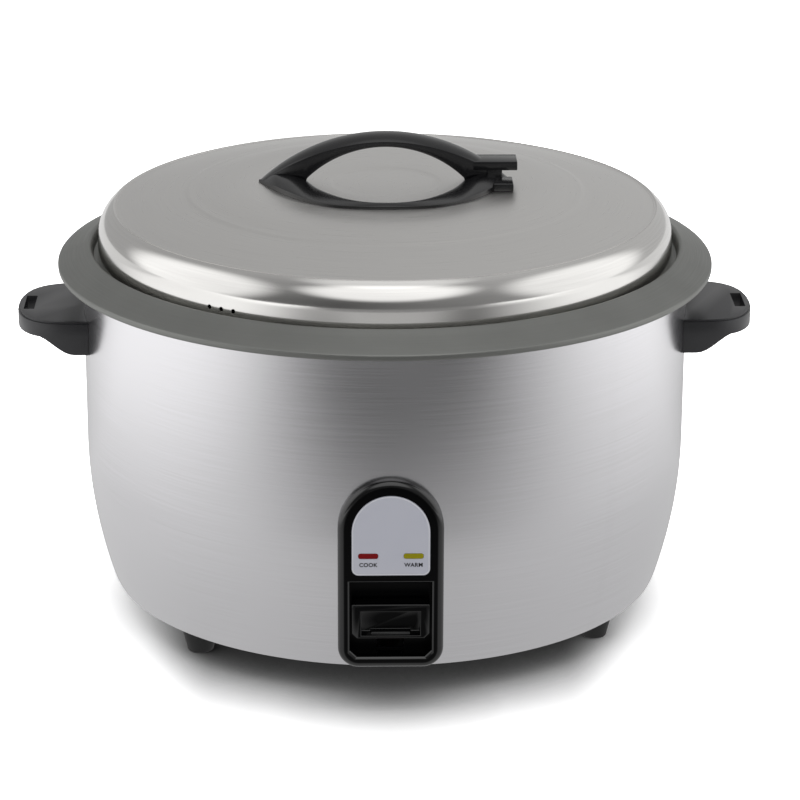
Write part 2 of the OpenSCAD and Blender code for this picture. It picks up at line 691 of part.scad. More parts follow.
module magnet_rod() color("silver") union() {
    translate([0, 0, rod_bottom]) cylinder(r = rod_collar_r, h = rod_collar_t);
    translate([0, 0, rod_bottom]) cylinder(r = rod_r, h = magnet_z + magnet_t - 1.5 - rod_bottom);
}

module magnet_spring() color("gray") swept_tube(
    coil_points(magnet_spring_r, rod_bottom + rod_collar_t + 0.5, bracket_z - 0.5, 3, 18), 0.45, 6);

// ---- switch ---------------------------------------------------------------------------------------------------

button_reach = 24;
button_y = -pivot_y - button_reach;
button_r = 1.6;
button_travel = button_reach * sin(press_angle);
arm_slope = (arm_root_z - 4 - lever_low_z - 3) / (paddle_back - 14 - pivot_y - 8);
button_top = lever_low_z + 3 + (button_reach - 8 - button_r) * arm_slope - 0.4;
switch_h = 7;

module switch_body() color("#2a2a2c") difference() {
    box([-14, button_y - 5.5, base_top], [14, button_y + 5.5, base_top + switch_h]);
    translate([0, button_y, base_top + 1.5]) cylinder(r = button_r + fit_gap, h = switch_h);
}

module switch_button() color("#a02a22") translate([0, button_y, base_top + 1.5 + button_travel + 0.3])
    cylinder(r = button_r, h = button_top - base_top - 1.8 - button_travel);

// ---- keep-warm thermostat and fuse --------------------------------------------------------------------------

warm_place = [58, -22];
fuse_place = [-58, -22];

module warm_thermostat() color("#d8cfb8") translate([warm_place[0], warm_place[1], 0]) union() {
    translate([0, 0, plate_under - 8]) cylinder(r = 8, h = 8);
    translate([0, 0, plate_under - 0.5]) cylinder(r = 1.5, h = 5);
    for (side = [-1, 1]) box([side * 4 - 0.4, -3, plate_under - 14], [side * 4 + 0.4, 3, plate_under - 7]);
}

fuse_r = 2.2;
module thermal_fuse() color("#c9b26a") translate([fuse_place[0] - 12, fuse_place[1] - 7, plate_under - fuse_r - 0.9])
    rotate([0, 90, 0]) cylinder(r = fuse_r, h = 24);

module fuse_clip() color("silver") union() {
    box([fuse_place[0] - 4, fuse_place[1] - 10.5, plate_under - 2 * fuse_r - 1.8],
        [fuse_place[0] + 4, fuse_place[1] + 4, plate_under - 2 * fuse_r - 1]);
    box([fuse_place[0] - 4, fuse_place[1] - 4, plate_under - 2 * fuse_r - 1.8],
        [fuse_place[0] + 4, fuse_place[1] + 4, plate_under]);
    translate([fuse_place[0], fuse_place[1], plate_under - 0.5]) cylinder(r = 1.5, h = 5);
}

// ---- power inlet ------------------------------------------------------------------------------------------------

inlet_face = drum_r + 3;
inlet_flange_half = inlet_w / 2 + 14;
inlet_screw_x = inlet_w / 2 + 8;
inlet_back = inlet_face - inlet_d - 3;
pin_l = 11.5;

module inlet_block(grow, y0, y1) box([-inlet_w / 2 - grow, y0, inlet_z - inlet_h / 2 - grow],
    [inlet_w / 2 + grow, y1, inlet_z + inlet_h / 2 + grow]);

module inlet_housing() color("#1a1a1c") difference() {
    union() {
        inlet_block(inlet_wall, inlet_back, inlet_face);
        difference() {
            box([-inlet_flange_half, drum_bottom_r - 8, inlet_z - inlet_h / 2 - inlet_wall - 1.5],
                [inlet_flange_half, inlet_face - 1.5, inlet_z + inlet_h / 2 + inlet_wall + 3]);
            drum_body(skin_gap);
        }
    }
    inlet_block(0, inlet_face - inlet_d, inlet_face + 1);
    for (x = [-7, 7]) box([x - 1.05, inlet_back - 1, inlet_z - 4], [x + 1.05, inlet_face, inlet_z + 0.1]);
    box([-1.05, inlet_back - 1, inlet_z + 1], [1.05, inlet_face, inlet_z + 5.1]);
    for (x = [-inlet_screw_x, inlet_screw_x]) translate([x, drum_bottom_r / 2, inlet_z]) rotate([-90, 0, 0])
        cylinder(r = screw_r + fit_gap, h = drum_r);
}

module inlet_pins() color("gold") {
    for (x = [-7, 7]) box([x - 1, inlet_back - 5, inlet_z - 3.9], [x + 1, inlet_back + 3 + pin_l, inlet_z]);
    box([-1, inlet_back - 5, inlet_z + 1.1], [1, inlet_back + 3 + pin_l, inlet_z + 5]);
}

inlet_head_y = inlet_face - 1.5;
module inlet_screws() color("silver") for (x = [-inlet_screw_x, inlet_screw_x])
    translate([x, inlet_head_y + head_h * 0.6, inlet_z]) rotate([90, 0, 0]) screw(18, screw_r, 3.6, head_h * 0.6);

// ---- wiring --------------------------------------------------------------------------------------------------------

wire_r = 1.3;
wire_z = base_top + wire_r + 0.4;
pin_end = [0, inlet_back - 5, inlet_z - 2];
switch_end = [-14 - wire_r - 0.1, button_y, base_top + 4];
terminal_r = heater_ring_r;

live_points = [
    [-7, inlet_back - 5.2, inlet_z - 2], [-8, inlet_back - 14, inlet_z - 3], [-24, 128, wire_z + 2], [-44, 96, wire_z],
    [-50, 40, wire_z], [-48, -20, wire_z], [-42, -74, wire_z], [-32, -104, wire_z + 1], [-14.7, button_y, base_top + 4]
];
neutral_points = [
    [7, inlet_back - 5.2, inlet_z - 2], [9, inlet_back - 14, inlet_z - 3], [26, 128, wire_z + 4],
    [30, 104, wire_z + 8], [terminal_r * sin(heater_terminal_a) + 1, 92, plate_under - 22],
    [terminal_r * sin(heater_terminal_a), terminal_r * cos(heater_terminal_a), plate_under - 12.5]
];
earth_points = [
    [0, inlet_back - 5.2, inlet_z + 3], [0, inlet_back - 13, inlet_z + 1], [2, 134, wire_z + 4],
    [0, 124, base_top + wire_r + 0.2]
];

module live_wire() color("#7a4a28") swept_tube(smooth(live_points, 6), wire_r);
module neutral_wire() color("#2b4a8f") swept_tube(smooth(neutral_points, 6), wire_r);
module earth_wire() color("#4f8a35") swept_tube(smooth(earth_points, 6), wire_r);

// ---- pot ----------------------------------------------------------------------------------------------------------------

pot_floor_r = pot_r - pot_taper;
// The pot's underside and outside, from the middle of its floor up and out to the flange's edge
pot_outside = concat(
    [[0, pot_floor]],
    arc([pot_floor_r - pot_corner_r, pot_floor + pot_corner_r], pot_corner_r, -90, -2, 12),
    [[pot_r, ledge_z - pot_t]],
    [[ridge_r, ledge_z - pot_t], [ridge_r, ridge_z - pot_t - 1], [ridge_r + 0.8, ridge_z - pot_t / cos(flange_tilt) - 0.2]],
    [[flange_r - pot_t, flange_edge_z - pot_t + 0.6], [flange_r - pot_t, flange_edge_z - flange_edge_h]]
);
pot_inside = concat(
    [[flange_r, flange_edge_z - flange_edge_h], [flange_r, flange_edge_z - 1], [flange_r - 0.8, flange_edge_z]],
    [[ridge_r + 0.5, ridge_z], [ridge_r - 1.2, ridge_z], [ridge_r - pot_t, ridge_z - 1]],
    [[ridge_r - pot_t, ledge_z], [pot_r - pot_t + 1, ledge_z], [pot_r - pot_t, ledge_z - 1]],
    reversed(arc([pot_floor_r - pot_corner_r, pot_floor + pot_corner_r], pot_corner_r - pot_t, -90, -2, 12)),
    [[0, pot_floor + pot_t]]
);

module inner_pot() color("#6e6e70") lathe(concat(pot_outside, pot_inside));

// ---- lid ------------------------------------------------------------------------------------------------------------------

// Shoulder arc: leaves the skirt upright and reaches the crease
shoulder_rise = crease_z - (lid_foot_z + skirt_h);
shoulder_r = (pow(shoulder_w, 2) + pow(shoulder_rise, 2)) / (2 * shoulder_w);
shoulder_a = asin(shoulder_rise / shoulder_r);
bead_z = lid_top - 4.2;
bead_step = 1.2;
pad_r = grip_half + 5;
eye_r = 31;
lid_outside = concat(
    [[lid_r - 0.4, lid_foot_z]],
    arc([lid_r - shoulder_r, lid_foot_z + skirt_h], shoulder_r, 0, shoulder_a, 10),
    [[crease_r - 0.8, crease_z - 0.4], [crease_r - 2, crease_z - 0.5]],
    [for (i = [1:4]) let (s = i / 4) [crease_r - 2 - (crease_r - 2 - bead_r - 5) * s,
        crease_z - 0.5 + (bead_z - bead_step - crease_z + 0.5) * (s + 0.25 * s * (1 - s))]],
    [[bead_r + 2, bead_z - 0.2], [bead_r, bead_z]],
    [for (i = [1:4]) let (s = i / 4) [bead_r - (bead_r - pad_r) * s, bead_z + (lid_top - bead_z) * s * (2 - s)]],
    [[eye_r + 3, lid_top], [eye_r + 1, lid_top - 0.7], [eye_r - 2, lid_top - 0.7], [0, lid_top - 0.7]]
);
steam_angles = [30.6, 33.3, 36];
steam_z = lid_foot_z + 8.4;
lid_screw_x = 62;

module lid() color("#b8b8ba") difference() {
    lathe(sheet(lid_outside, lid_t));
    for (a = steam_angles) rotate(-a) translate([0, -lid_r + 8, steam_z]) rotate([90, 0, 0])
        cylinder(r = steam_hole_r, h = 12);
    for (x = [-lid_screw_x, lid_screw_x]) translate([x, 0, lid_top - 10]) cylinder(r = screw_r + fit_gap, h = 20);
}

// ---- lid handle ----------------------------------------------------------------------------------------------------------------

grip_base = lid_top + 0.05;
// A circular segment's radius, from half its chord and its height
function segment_r(half, h) = (half * half + h * h) / (2 * h);
grip_r = segment_r(grip_half, grip_h);
finger_sill = 5.5;
finger_r = segment_r(finger_half, finger_h - finger_sill);
finger_a = asin(finger_half / finger_r);
grip_a = asin(grip_half / grip_r);
lip_h = 5;
lip_hole_reach = lip_reach - 9;
prong_reach = 80;

grip_face = concat(
    arc([0, grip_h - grip_r], grip_r, 90 - grip_a, 90 + grip_a, 32),
    [[-finger_half + 4, 0]],
    reversed(arc([0, finger_h - finger_r], finger_r, 90 - finger_a, 90 + finger_a, 24)),
    [[finger_half - 4, 0]]
);
function half_oval(a, b, n) = [for (i = [0:n]) let (t = 180 * i / n) [-a * cos(t), -b * sin(t)]];
lip_plan = concat(half_oval(grip_half, lip_reach, 40), [[grip_half - 6, 8], [-grip_half + 6, 8]]);
lip_hole = concat(half_oval(finger_half, lip_hole_reach, 32), [[finger_half - 4, 12], [-finger_half + 4, 12]]);

// The grip's plan: full width in the middle, narrowed towards its pointed ends
function pod(half, depth, n) = concat(
    [for (i = [0:n]) let (t = -1 + 2 * i / n) [half * t, -depth * sqrt(1 - pow(abs(t), 3))]],
    [for (i = [1:n - 1]) let (t = 1 - 2 * i / n) [half * t, depth * sqrt(1 - pow(abs(t), 3))]]
);

module lid_handle() color("#151517") difference() {
    union() {
        intersection() {
            translate([0, 0, grip_base]) slab_y(-grip_d, grip_d) polygon(grip_face);
            translate([0, 0, grip_base - 1]) linear_extrude(height = grip_h + 2) polygon(pod(grip_half, grip_d / 2, 24));
        }
        translate([0, 0, grip_base]) linear_extrude(height = lip_h, scale = 0.97) difference() {
            polygon(lip_plan);
            polygon(lip_hole);
        }
        // spoon rest: an upper tab and a lower tab that leave a gap for the spoon's handle
        box([grip_half - 20, -9, grip_base + 9], [prong_reach, 9, grip_base + 14.5]);
        box([grip_half - 12, -24, grip_base], [prong_reach - 3, -6, grip_base + 4.5]);
    }
    for (x = [-lid_screw_x, lid_screw_x]) translate([x, 0, grip_base - 1]) cylinder(r = screw_r + fit_gap, h = 8);
    box([grip_half - 6, -4, grip_base - 1], [prong_reach + 5, 12, grip_base + 9]);
}

lid_washer_t = 1;
lid_under = lid_top - lid_t;
module lid_handle_screws() color("silver") for (x = [-lid_screw_x, lid_screw_x])
    translate([x, 0, lid_under - lid_washer_t - head_h]) screw(lid_washer_t + lid_t + 6.5);
module lid_handle_washers() color("#d9d9d9") for (x = [-lid_screw_x, lid_screw_x])
    translate([x, 0, lid_under - lid_washer_t]) ring(6, screw_r + fit_gap, lid_washer_t);

// ---- the nodes ----------------------------------------------------------------------------------------------------------------------

drum_shell();
base_plate();
inner_liner();
foot(foot_places[0]);  // foot_front_left
foot(foot_places[1]);  // foot_rear_left
foot(foot_places[2]);  // foot_front_right
foot(foot_places[3]);  // foot_rear_right
foot_screws();
foot_nuts();
side_handle();  // side_handle_right
mirror([1, 0, 0]) side_handle();  // side_handle_left
side_handle_screws();
side_handle_washers();
control_panel();
label_plate();
cook_lens();
warm_lens();
lamp(-1);  // cook_lamp
lamp(1);  // warm_lamp
panel_screws();
heating_plate();
heater_tube();
plate_legs();
plate_screws();
sensor_bracket();
sensor_bracket_screws();
sensor_cap();
sensor_ferrite();
sensor_spring();
magnet();
magnet_rod();
magnet_spring();
lever_paddle();
lever_arm();
lever_pin();
lever_bracket();
lever_bracket_screws();
switch_body();
switch_button();
warm_thermostat();
thermal_fuse();
fuse_clip();
inlet_housing();
inlet_pins();
inlet_screws();
live_wire();
neutral_wire();
earth_wire();
inner_pot();
lid();
lid_handle();
lid_handle_screws();
lid_handle_washers();
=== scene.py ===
import math

import bmesh
import bpy
from mathutils import Matrix, Vector


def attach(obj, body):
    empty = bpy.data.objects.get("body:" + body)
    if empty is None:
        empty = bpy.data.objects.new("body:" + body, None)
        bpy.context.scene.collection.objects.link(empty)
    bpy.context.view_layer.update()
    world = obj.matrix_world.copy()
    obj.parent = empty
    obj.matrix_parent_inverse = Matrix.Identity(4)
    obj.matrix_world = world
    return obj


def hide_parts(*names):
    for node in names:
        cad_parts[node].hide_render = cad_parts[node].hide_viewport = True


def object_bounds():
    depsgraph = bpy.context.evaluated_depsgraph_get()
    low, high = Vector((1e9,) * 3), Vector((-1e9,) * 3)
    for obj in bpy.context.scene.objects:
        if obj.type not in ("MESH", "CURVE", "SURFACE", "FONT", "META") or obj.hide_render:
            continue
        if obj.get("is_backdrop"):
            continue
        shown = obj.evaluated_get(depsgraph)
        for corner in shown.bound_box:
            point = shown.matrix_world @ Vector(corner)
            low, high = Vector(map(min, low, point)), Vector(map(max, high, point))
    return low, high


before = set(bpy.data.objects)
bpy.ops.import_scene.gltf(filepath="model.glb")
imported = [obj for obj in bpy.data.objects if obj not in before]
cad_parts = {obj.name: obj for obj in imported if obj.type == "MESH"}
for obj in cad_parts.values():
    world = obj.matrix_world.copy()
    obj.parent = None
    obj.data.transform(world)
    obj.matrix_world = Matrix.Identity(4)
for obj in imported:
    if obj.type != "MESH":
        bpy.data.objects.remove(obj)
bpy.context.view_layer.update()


# ---- Drum --------------------------------------------------------------------
# The cooker's outer wall: one stainless steel sheet, rolled and pressed in at the foot, brushed round the drum
# with a fine belt. The control panel, side handles and inlet are screwed to it.

DRUM_R = 0.185
DRUM_BOTTOM = 0.020
DRUM_TOP = 0.2259
BELLY_TOP = 0.110
BELLY_R = 0.283
# degrees of the belly's arc, from its widest line down to the hem
BELLY_TURN = 18.54
HEM_R = 0.0012
DRUM_SHEET = 0.001
DRUM_STEPS = 240


def arc(centre, radius, start, end, count):
    """Points along an arc, with angles in degrees."""
    angles = [math.radians(start + (end - start) * i / count) for i in range(count + 1)]
    return [(centre[0] + radius * math.cos(a), centre[1] + radius * math.sin(a)) for a in angles]


def spun(outline, steps, offset=0.0, closed=False):
    """A mesh of an outline in radius and height, spun round the Z axis."""
    bm = bmesh.new()
    verts = [bm.verts.new((r * math.cos(offset), r * math.sin(offset), z)) for r, z in outline]
    edges = [bm.edges.new(pair) for pair in zip(verts, verts[1:])]
    if closed:
        edges.append(bm.edges.new((verts[-1], verts[0])))
    bmesh.ops.spin(bm, geom=verts + edges, cent=(0, 0, 0), axis=(0, 0, 1), angle=2 * math.pi,
                   steps=steps, use_merge=True)
    bmesh.ops.remove_doubles(bm, verts=bm.verts, dist=1e-6)
    bmesh.ops.recalc_face_normals(bm, faces=bm.faces)
    return bm


def piece(name, bm, body, material, nodes=(), sharp=32):
    """Makes the finished mesh a piece of the cooker that stands for some CAD nodes."""
    mesh = bpy.data.meshes.new(name)
    bm.to_mesh(mesh)
    bm.free()
    mesh.materials.append(material)
    mesh.shade_smooth()
    mesh.set_sharp_from_angle(angle=math.radians(sharp))
    made = bpy.data.objects.new(name, mesh)
    bpy.context.scene.collection.objects.link(made)
    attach(made, body)
    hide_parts(*nodes)


def linear(colour):
    """An sRGB hex colour as linear RGBA."""
    parts = [int(colour[i:i + 2], 16) / 255 for i in (1, 3, 5)]
    return [p / 12.92 if p <= 0.04045 else ((p + 0.055) / 1.055) ** 2.4 for p in parts] + [1.0]


def add(tree, kind, inputs=None, **settings):
    """Adds a node with its settings, and links or fills its inputs."""
    new = tree.nodes.new(kind)
    for name, value in settings.items():
        setattr(new, name, value)
    for socket, value in (inputs or {}).items():
        if isinstance(value, bpy.types.NodeSocket):
            tree.links.new(value, new.inputs[socket])
        else:
            new.inputs[socket].default_value = value
    return new


# Sockets by number, in the nodes below: a Map Range has its value, from low, from high, to low and to high at 0
# to 4, and a Mix has its factor at 0, numbers at 2 and 3, and colours at 6 and 7.

def surface(name, **settings):
    """A new material and its shader, with constant settings on the shader's own sockets."""
    material = bpy.data.materials.new(name)
    material.use_nodes = True
    shader = material.node_tree.nodes["Principled BSDF"]
    for socket, value in settings.items():
        shader.inputs[socket.replace("_", " ")].default_value = value
    return material, material.node_tree, shader


# Brushed stainless steel: belt lines run round the drum, about 0.6 mm apart where the real ones are finer,
# so that they still show as a faint grain. They spread reflections up and down.
drum_steel, tree, shader = surface("brushed stainless steel", Metallic=1.0)
place = add(tree, "ShaderNodeTexCoord").outputs["Object"]
xyz = add(tree, "ShaderNodeSeparateXYZ", {0: place}).outputs
turn = add(tree, "ShaderNodeMath", {0: xyz[1], 1: xyz[0]}, operation="ARCTAN2").outputs[0]
along = add(tree, "ShaderNodeCombineXYZ", {0: turn, 1: 0.0, 2: xyz[2]}).outputs[0]
lines = add(tree, "ShaderNodeMapping", {0: along, "Scale": (2.0, 1.0, 1600.0)}).outputs[0]
grain = add(tree, "ShaderNodeTexNoise", {"Vector": lines, "Scale": 1.0, "Detail": 3.0, "Roughness": 0.6})
tone = add(tree, "ShaderNodeValToRGB", {0: grain.outputs[0]})
tone.color_ramp.elements[0].position = 0.3
tone.color_ramp.elements[0].color = linear("#dfdee0")
tone.color_ramp.elements[1].position = 0.7
tone.color_ramp.elements[1].color = linear("#e5e4e7")
tree.links.new(tone.outputs[0], shader.inputs["Base Color"])
rough = add(tree, "ShaderNodeMapRange", {0: grain.outputs[0], 1: 0.3, 2: 0.7, 3: 0.22, 4: 0.27})
tree.links.new(rough.outputs[0], shader.inputs["Roughness"])
ridges = add(tree, "ShaderNodeBump", {"Height": grain.outputs[0], "Strength": 0.02, "Distance": 0.0002})
tree.links.new(ridges.outputs[0], shader.inputs["Normal"])

belly = arc((DRUM_R - BELLY_R, BELLY_TOP), BELLY_R, -BELLY_TURN, 0, 26)
foot_r = belly[0][0]
hem = [(foot_r - 0.008, DRUM_BOTTOM), (foot_r - 0.003, DRUM_BOTTOM)]
hem += arc((foot_r - HEM_R, DRUM_BOTTOM + HEM_R), HEM_R, -90, -18.5, 4)
wall = [(DRUM_R, z) for z in (0.125, 0.140, 0.160, 0.180, 0.200, 0.215, DRUM_TOP)]
# the spin starts half a face aside, so the openings lie evenly about the middle
bm = spun(hem + belly[1:] + wall, DRUM_STEPS, math.pi / DRUM_STEPS)
# openings behind the control panel (y below 0) and round the power inlet (y above 0)
openings = []
for facing, half_width, low, high in ((-1, 0.0245, 0.032, 0.124), (1, 0.0175, 0.023, 0.047)):
    for face in bm.faces:
        x, y, z = face.calc_center_median()
        if abs(x) < half_width and facing * y > 0 and low < z < high:
            openings.append(face)
bmesh.ops.delete(bm, geom=openings, context="FACES")
bmesh.ops.solidify(bm, geom=bm.faces[:], thickness=DRUM_SHEET)
piece("drum_wall", bm, "base", drum_steel, ["drum_shell"])


# ---- Base plate and liner ----------------------------------------------------
# Plain steel sheets: the base plate closes the drum from below, and the liner is a spun bowl that keeps heat
# and spills away from the wiring.


def mottled(name, dark, light, scale, detail=2.0, rough=None, **settings):
    """A material whose colour, and roughness if a range is given, clouds softly between two levels."""
    material, tree, shader = surface(name, **settings)
    place = add(tree, "ShaderNodeTexCoord").outputs["Object"]
    cloud = add(tree, "ShaderNodeTexNoise", {"Vector": place, "Scale": scale, "Detail": detail}).outputs[0]
    tone = add(tree, "ShaderNodeMix", {0: cloud, 6: linear(dark), 7: linear(light)}, data_type="RGBA")
    tree.links.new(tone.outputs[2], shader.inputs["Base Color"])
    if rough:
        spread = add(tree, "ShaderNodeMapRange", {0: cloud, 1: 0.3, 2: 0.7, 3: rough[0], 4: rough[1]})
        tree.links.new(spread.outputs[0], shader.inputs["Roughness"])
    return material, tree, shader, place


# Cold rolled steel: a dull grey metal with soft blotches and faint lines from the rolls
plain_sheet, tree, shader, place = mottled("cold rolled sheet steel", "#a9a9a8", "#bebfc0", 22.0, 5.0,
                                           Metallic=1.0)
roll = add(tree, "ShaderNodeMapping", {0: place, "Scale": (40.0, 900.0, 40.0)}).outputs[0]
grain = add(tree, "ShaderNodeTexNoise", {"Vector": roll, "Scale": 1.0, "Detail": 4.0})
rough = add(tree, "ShaderNodeMapRange", {0: grain.outputs[0], 1: 0.3, 2: 0.7, 3: 0.32, 4: 0.44})
tree.links.new(rough.outputs[0], shader.inputs["Roughness"])
ridges = add(tree, "ShaderNodeBump", {"Height": grain.outputs[0], "Strength": 0.06, "Distance": 0.0002})
tree.links.new(ridges.outputs[0], shader.inputs["Normal"])


def coat(material, *nodes):
    """Gives CAD nodes that keep their own shape a material."""
    for name in nodes:
        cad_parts[name].data.materials.clear()
        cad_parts[name].data.materials.append(material)


coat(plain_sheet, "base_plate", "inner_liner")


# ---- Feet --------------------------------------------------------------------
# Four moulded rubber feet with a rounded sole, matt black with a slight bloom. Each is held to the base plate by a
# screw in its recess.

# Moulded rubber: dark and matt, with a fine pitted skin that blurs every highlight
rubber, tree, shader, place = mottled("moulded rubber", "#151515", "#1f1f20", 180.0, 4.0, Roughness=0.62,
                                      IOR=1.5)
grit = add(tree, "ShaderNodeTexNoise", {"Vector": place, "Scale": 2500.0, "Detail": 2.0})
pits = add(tree, "ShaderNodeBump", {"Height": grit.outputs[0], "Strength": 0.15, "Distance": 0.0001})
tree.links.new(pits.outputs[0], shader.inputs["Normal"])

FOOT_R = 0.012
FOOT_TOP = 0.021
SOLE_EDGE_R = 0.0015
SCREW_HOLE_R = 0.0021
SCREW_RECESS_R = 0.0044
SCREW_RECESS_H = 0.008
FOOT_RING_R = 0.149
# degrees by which the ring of feet is turned on the drum
FOOT_RING_TURN = 4.4

foot_outline = [(SCREW_HOLE_R, FOOT_TOP), (SCREW_HOLE_R, SCREW_RECESS_H), (SCREW_RECESS_R, SCREW_RECESS_H)]
foot_outline += [(SCREW_RECESS_R, 0.0003), (SCREW_RECESS_R + 0.0003, 0.0)]
foot_outline += arc((0.0065, SOLE_EDGE_R), SOLE_EDGE_R, -90, -18, 8)
foot_outline += [(0.0100, 0.0099), (FOOT_R - 0.0002, FOOT_TOP - 0.0046), (FOOT_R, FOOT_TOP - 0.0038)]
foot_outline += [(FOOT_R, FOOT_TOP - 0.0006), (FOOT_R - 0.0006, FOOT_TOP)]
for corner, angle in (("front_left", 216), ("front_right", 324), ("rear_left", 144), ("rear_right", 36)):
    turn = math.radians(angle + FOOT_RING_TURN)
    bm = spun(foot_outline, 48, closed=True)
    bmesh.ops.translate(bm, vec=(FOOT_RING_R * math.cos(turn), FOOT_RING_R * math.sin(turn), 0), verts=bm.verts)
    piece(f"rubber_foot_{corner}", bm, "base", rubber, [f"foot_{corner}"])


# ---- Fasteners ---------------------------------------------------------------
# Screws, nuts, washers, brackets and the lever's arm and pin, all of zinc plated steel. They keep their CAD
# shapes.

# Zinc plate: a bright metal, cloudy and a little blue
zinc, *_ = mottled("zinc plated steel", "#b4b8bf", "#d0d2d4", 350.0, 4.0, rough=(0.22, 0.36), Metallic=1.0)
coat(zinc, "foot_screws", "foot_nuts", "side_handle_screws", "side_handle_washers", "panel_screws", "plate_legs",
     "plate_screws", "sensor_bracket", "sensor_bracket_screws", "magnet_rod", "lever_arm", "lever_pin",
     "lever_bracket", "lever_bracket_screws", "fuse_clip", "inlet_screws", "lid_handle_screws",
     "lid_handle_washers")


# ---- Side handles ------------------------------------------------------------
# Two moulded phenolic handles: a flat shelf with a hanging slot near its rounded end, on a gusset that hugs the
# drum. The moulding has soft edges and a satin surface.

# Moulded phenolic: charcoal, with broad satin highlights
phenolic, tree, shader, place = mottled("moulded phenolic", "#222225", "#2a2a2d", 60.0, 3.0, Roughness=0.33,
                                        IOR=1.55)
grit = add(tree, "ShaderNodeTexNoise", {"Vector": place, "Scale": 1800.0, "Detail": 2.0})
pits = add(tree, "ShaderNodeBump", {"Height": grit.outputs[0], "Strength": 0.12, "Distance": 0.0001})
tree.links.new(pits.outputs[0], shader.inputs["Normal"])


def folds(bm, angle):
    """Edges where two faces meet at more than an angle in degrees."""
    return [e for e in bm.edges if len(e.link_faces) == 2 and e.calc_face_angle(0) > math.radians(angle)]


def rounded(bm, edges, width, segments=2):
    """Rounds edges with a bevel."""
    bmesh.ops.bevel(bm, geom=edges, offset=width, offset_type="OFFSET", segments=segments, profile=0.5,
                    affect="EDGES", material=-1, clamp_overlap=True)


def softened(node, width, segments=3):
    """A copy of a CAD node's mesh with its flat faces made whole and its edges rounded."""
    bm = bmesh.new()
    bm.from_mesh(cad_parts[node].data)
    bmesh.ops.remove_doubles(bm, verts=bm.verts, dist=2e-6)
    bmesh.ops.dissolve_limit(bm, angle_limit=math.radians(1.0), verts=bm.verts, edges=bm.edges)
    rounded(bm, folds(bm, 28), width, segments)
    return bm


for side in ("left", "right"):
    bm = softened(f"side_handle_{side}", 0.0012)
    piece(f"handle_{side}", bm, "base", phenolic, [f"side_handle_{side}"], sharp=40)


# ---- Control panel -----------------------------------------------------------
# An arched housing of gloss black ABS with a large rounded rim. Its face has a bed for the label plate and a
# deep recess with cut lower corners for the cook lever.

# Moulded ABS, near black: the flat faces have a fine satin texture and give back little light, and the rounded
# edges are polished and catch it.
black_abs, tree, shader = surface("polished black ABS", IOR=1.5)
coordinates = add(tree, "ShaderNodeTexCoord").outputs
place = coordinates["Object"]
front = add(tree, "ShaderNodeSeparateXYZ", {0: coordinates["Normal"]}).outputs[1]
flatness = add(tree, "ShaderNodeMapRange", {0: front, 1: -0.97, 2: -0.995, 3: 0.0, 4: 1.0}).outputs[0]
gloss = add(tree, "ShaderNodeMapRange", {0: flatness, 1: 0.0, 2: 1.0, 3: 0.75, 4: 0.1}).outputs[0]
tree.links.new(gloss, shader.inputs["Specular IOR Level"])
shade = add(tree, "ShaderNodeTexNoise", {"Vector": place, "Scale": 35.0, "Detail": 2.0})
tone = add(tree, "ShaderNodeMix", {0: shade.outputs[0], 6: linear("#010102"), 7: linear("#030304")},
           data_type="RGBA")
tree.links.new(tone.outputs[2], shader.inputs["Base Color"])
rough = add(tree, "ShaderNodeMapRange", {0: shade.outputs[0], 1: 0.3, 2: 0.7, 3: 0.07, 4: 0.11}).outputs[0]
satin = add(tree, "ShaderNodeMix", {0: flatness, 2: rough, 3: 0.3}, data_type="FLOAT")
tree.links.new(satin.outputs[0], shader.inputs["Roughness"])

PANEL_HALF = 0.0305
PANEL_TOP = 0.1432
PANEL_BOTTOM = 0.0276
PANEL_FACE = 0.191
PANEL_CORNER = 0.012
RIM_R = 0.0042
LABEL_HALF = 0.02245
LABEL_TOP = 0.1343
LABEL_BOTTOM = 0.0858
LABEL_CORNER = 0.004
LABEL_T = 0.0007
RECESS_HALF = 0.0235
RECESS_TOP = 0.0808
RECESS_BOTTOM = 0.0347
RECESS_BACK = 0.178
RECESS_CUT = 0.004
ARM_SLOT_HALF = 0.008
ARM_SLOT_LOW = 0.0358
ARM_SLOT_TOP = 0.0577


def arched(half, top, bottom, corner, inset=0.0):
    """An arch-topped outline with rounded lower corners, as points in X and Z."""
    points = arc((0, top - half), half - inset, 0, 180, 48)
    points += arc((-half + corner, bottom + corner), corner - inset, 180, 270, 10)
    points += arc((half - corner, bottom + corner), corner - inset, 270, 360, 10)
    return points


def loop(bm, points, y):
    """A closed ring of edges through points in X and Z, at one depth or at a depth for each point."""
    depth = y if callable(y) else (lambda x, z: y)
    verts = [bm.verts.new((x, depth(x, z), z)) for x, z in points]
    return [bm.edges.new((a, b)) for a, b in zip(verts, verts[1:] + verts[:1])]


def drum_radius(z):
    """The drum's outer radius at a height."""
    if z >= BELLY_TOP:
        return DRUM_R
    return DRUM_R - BELLY_R + math.sqrt(BELLY_R ** 2 - (BELLY_TOP - max(z, DRUM_BOTTOM)) ** 2)


def joined(bm, *rings):
    """Bridges each ring of edges to the next."""
    for a, b in zip(rings, rings[1:]):
        bmesh.ops.bridge_loops(bm, edges=a + b)


def recess(inset):
    """The lever recess's outline, with cut lower corners."""
    half, top, low = RECESS_HALF + inset, RECESS_TOP + inset, RECESS_BOTTOM - inset
    left = [(-half, top), (-half, low + RECESS_CUT), (-half + RECESS_CUT, low)]
    return left + [(-x, z) for x, z in reversed(left)]


def on_drum(x, z):
    """Depth of the drum's sheet behind a point of the panel's outline."""
    return -math.sqrt((drum_radius(z) - 0.0006) ** 2 - x * x)


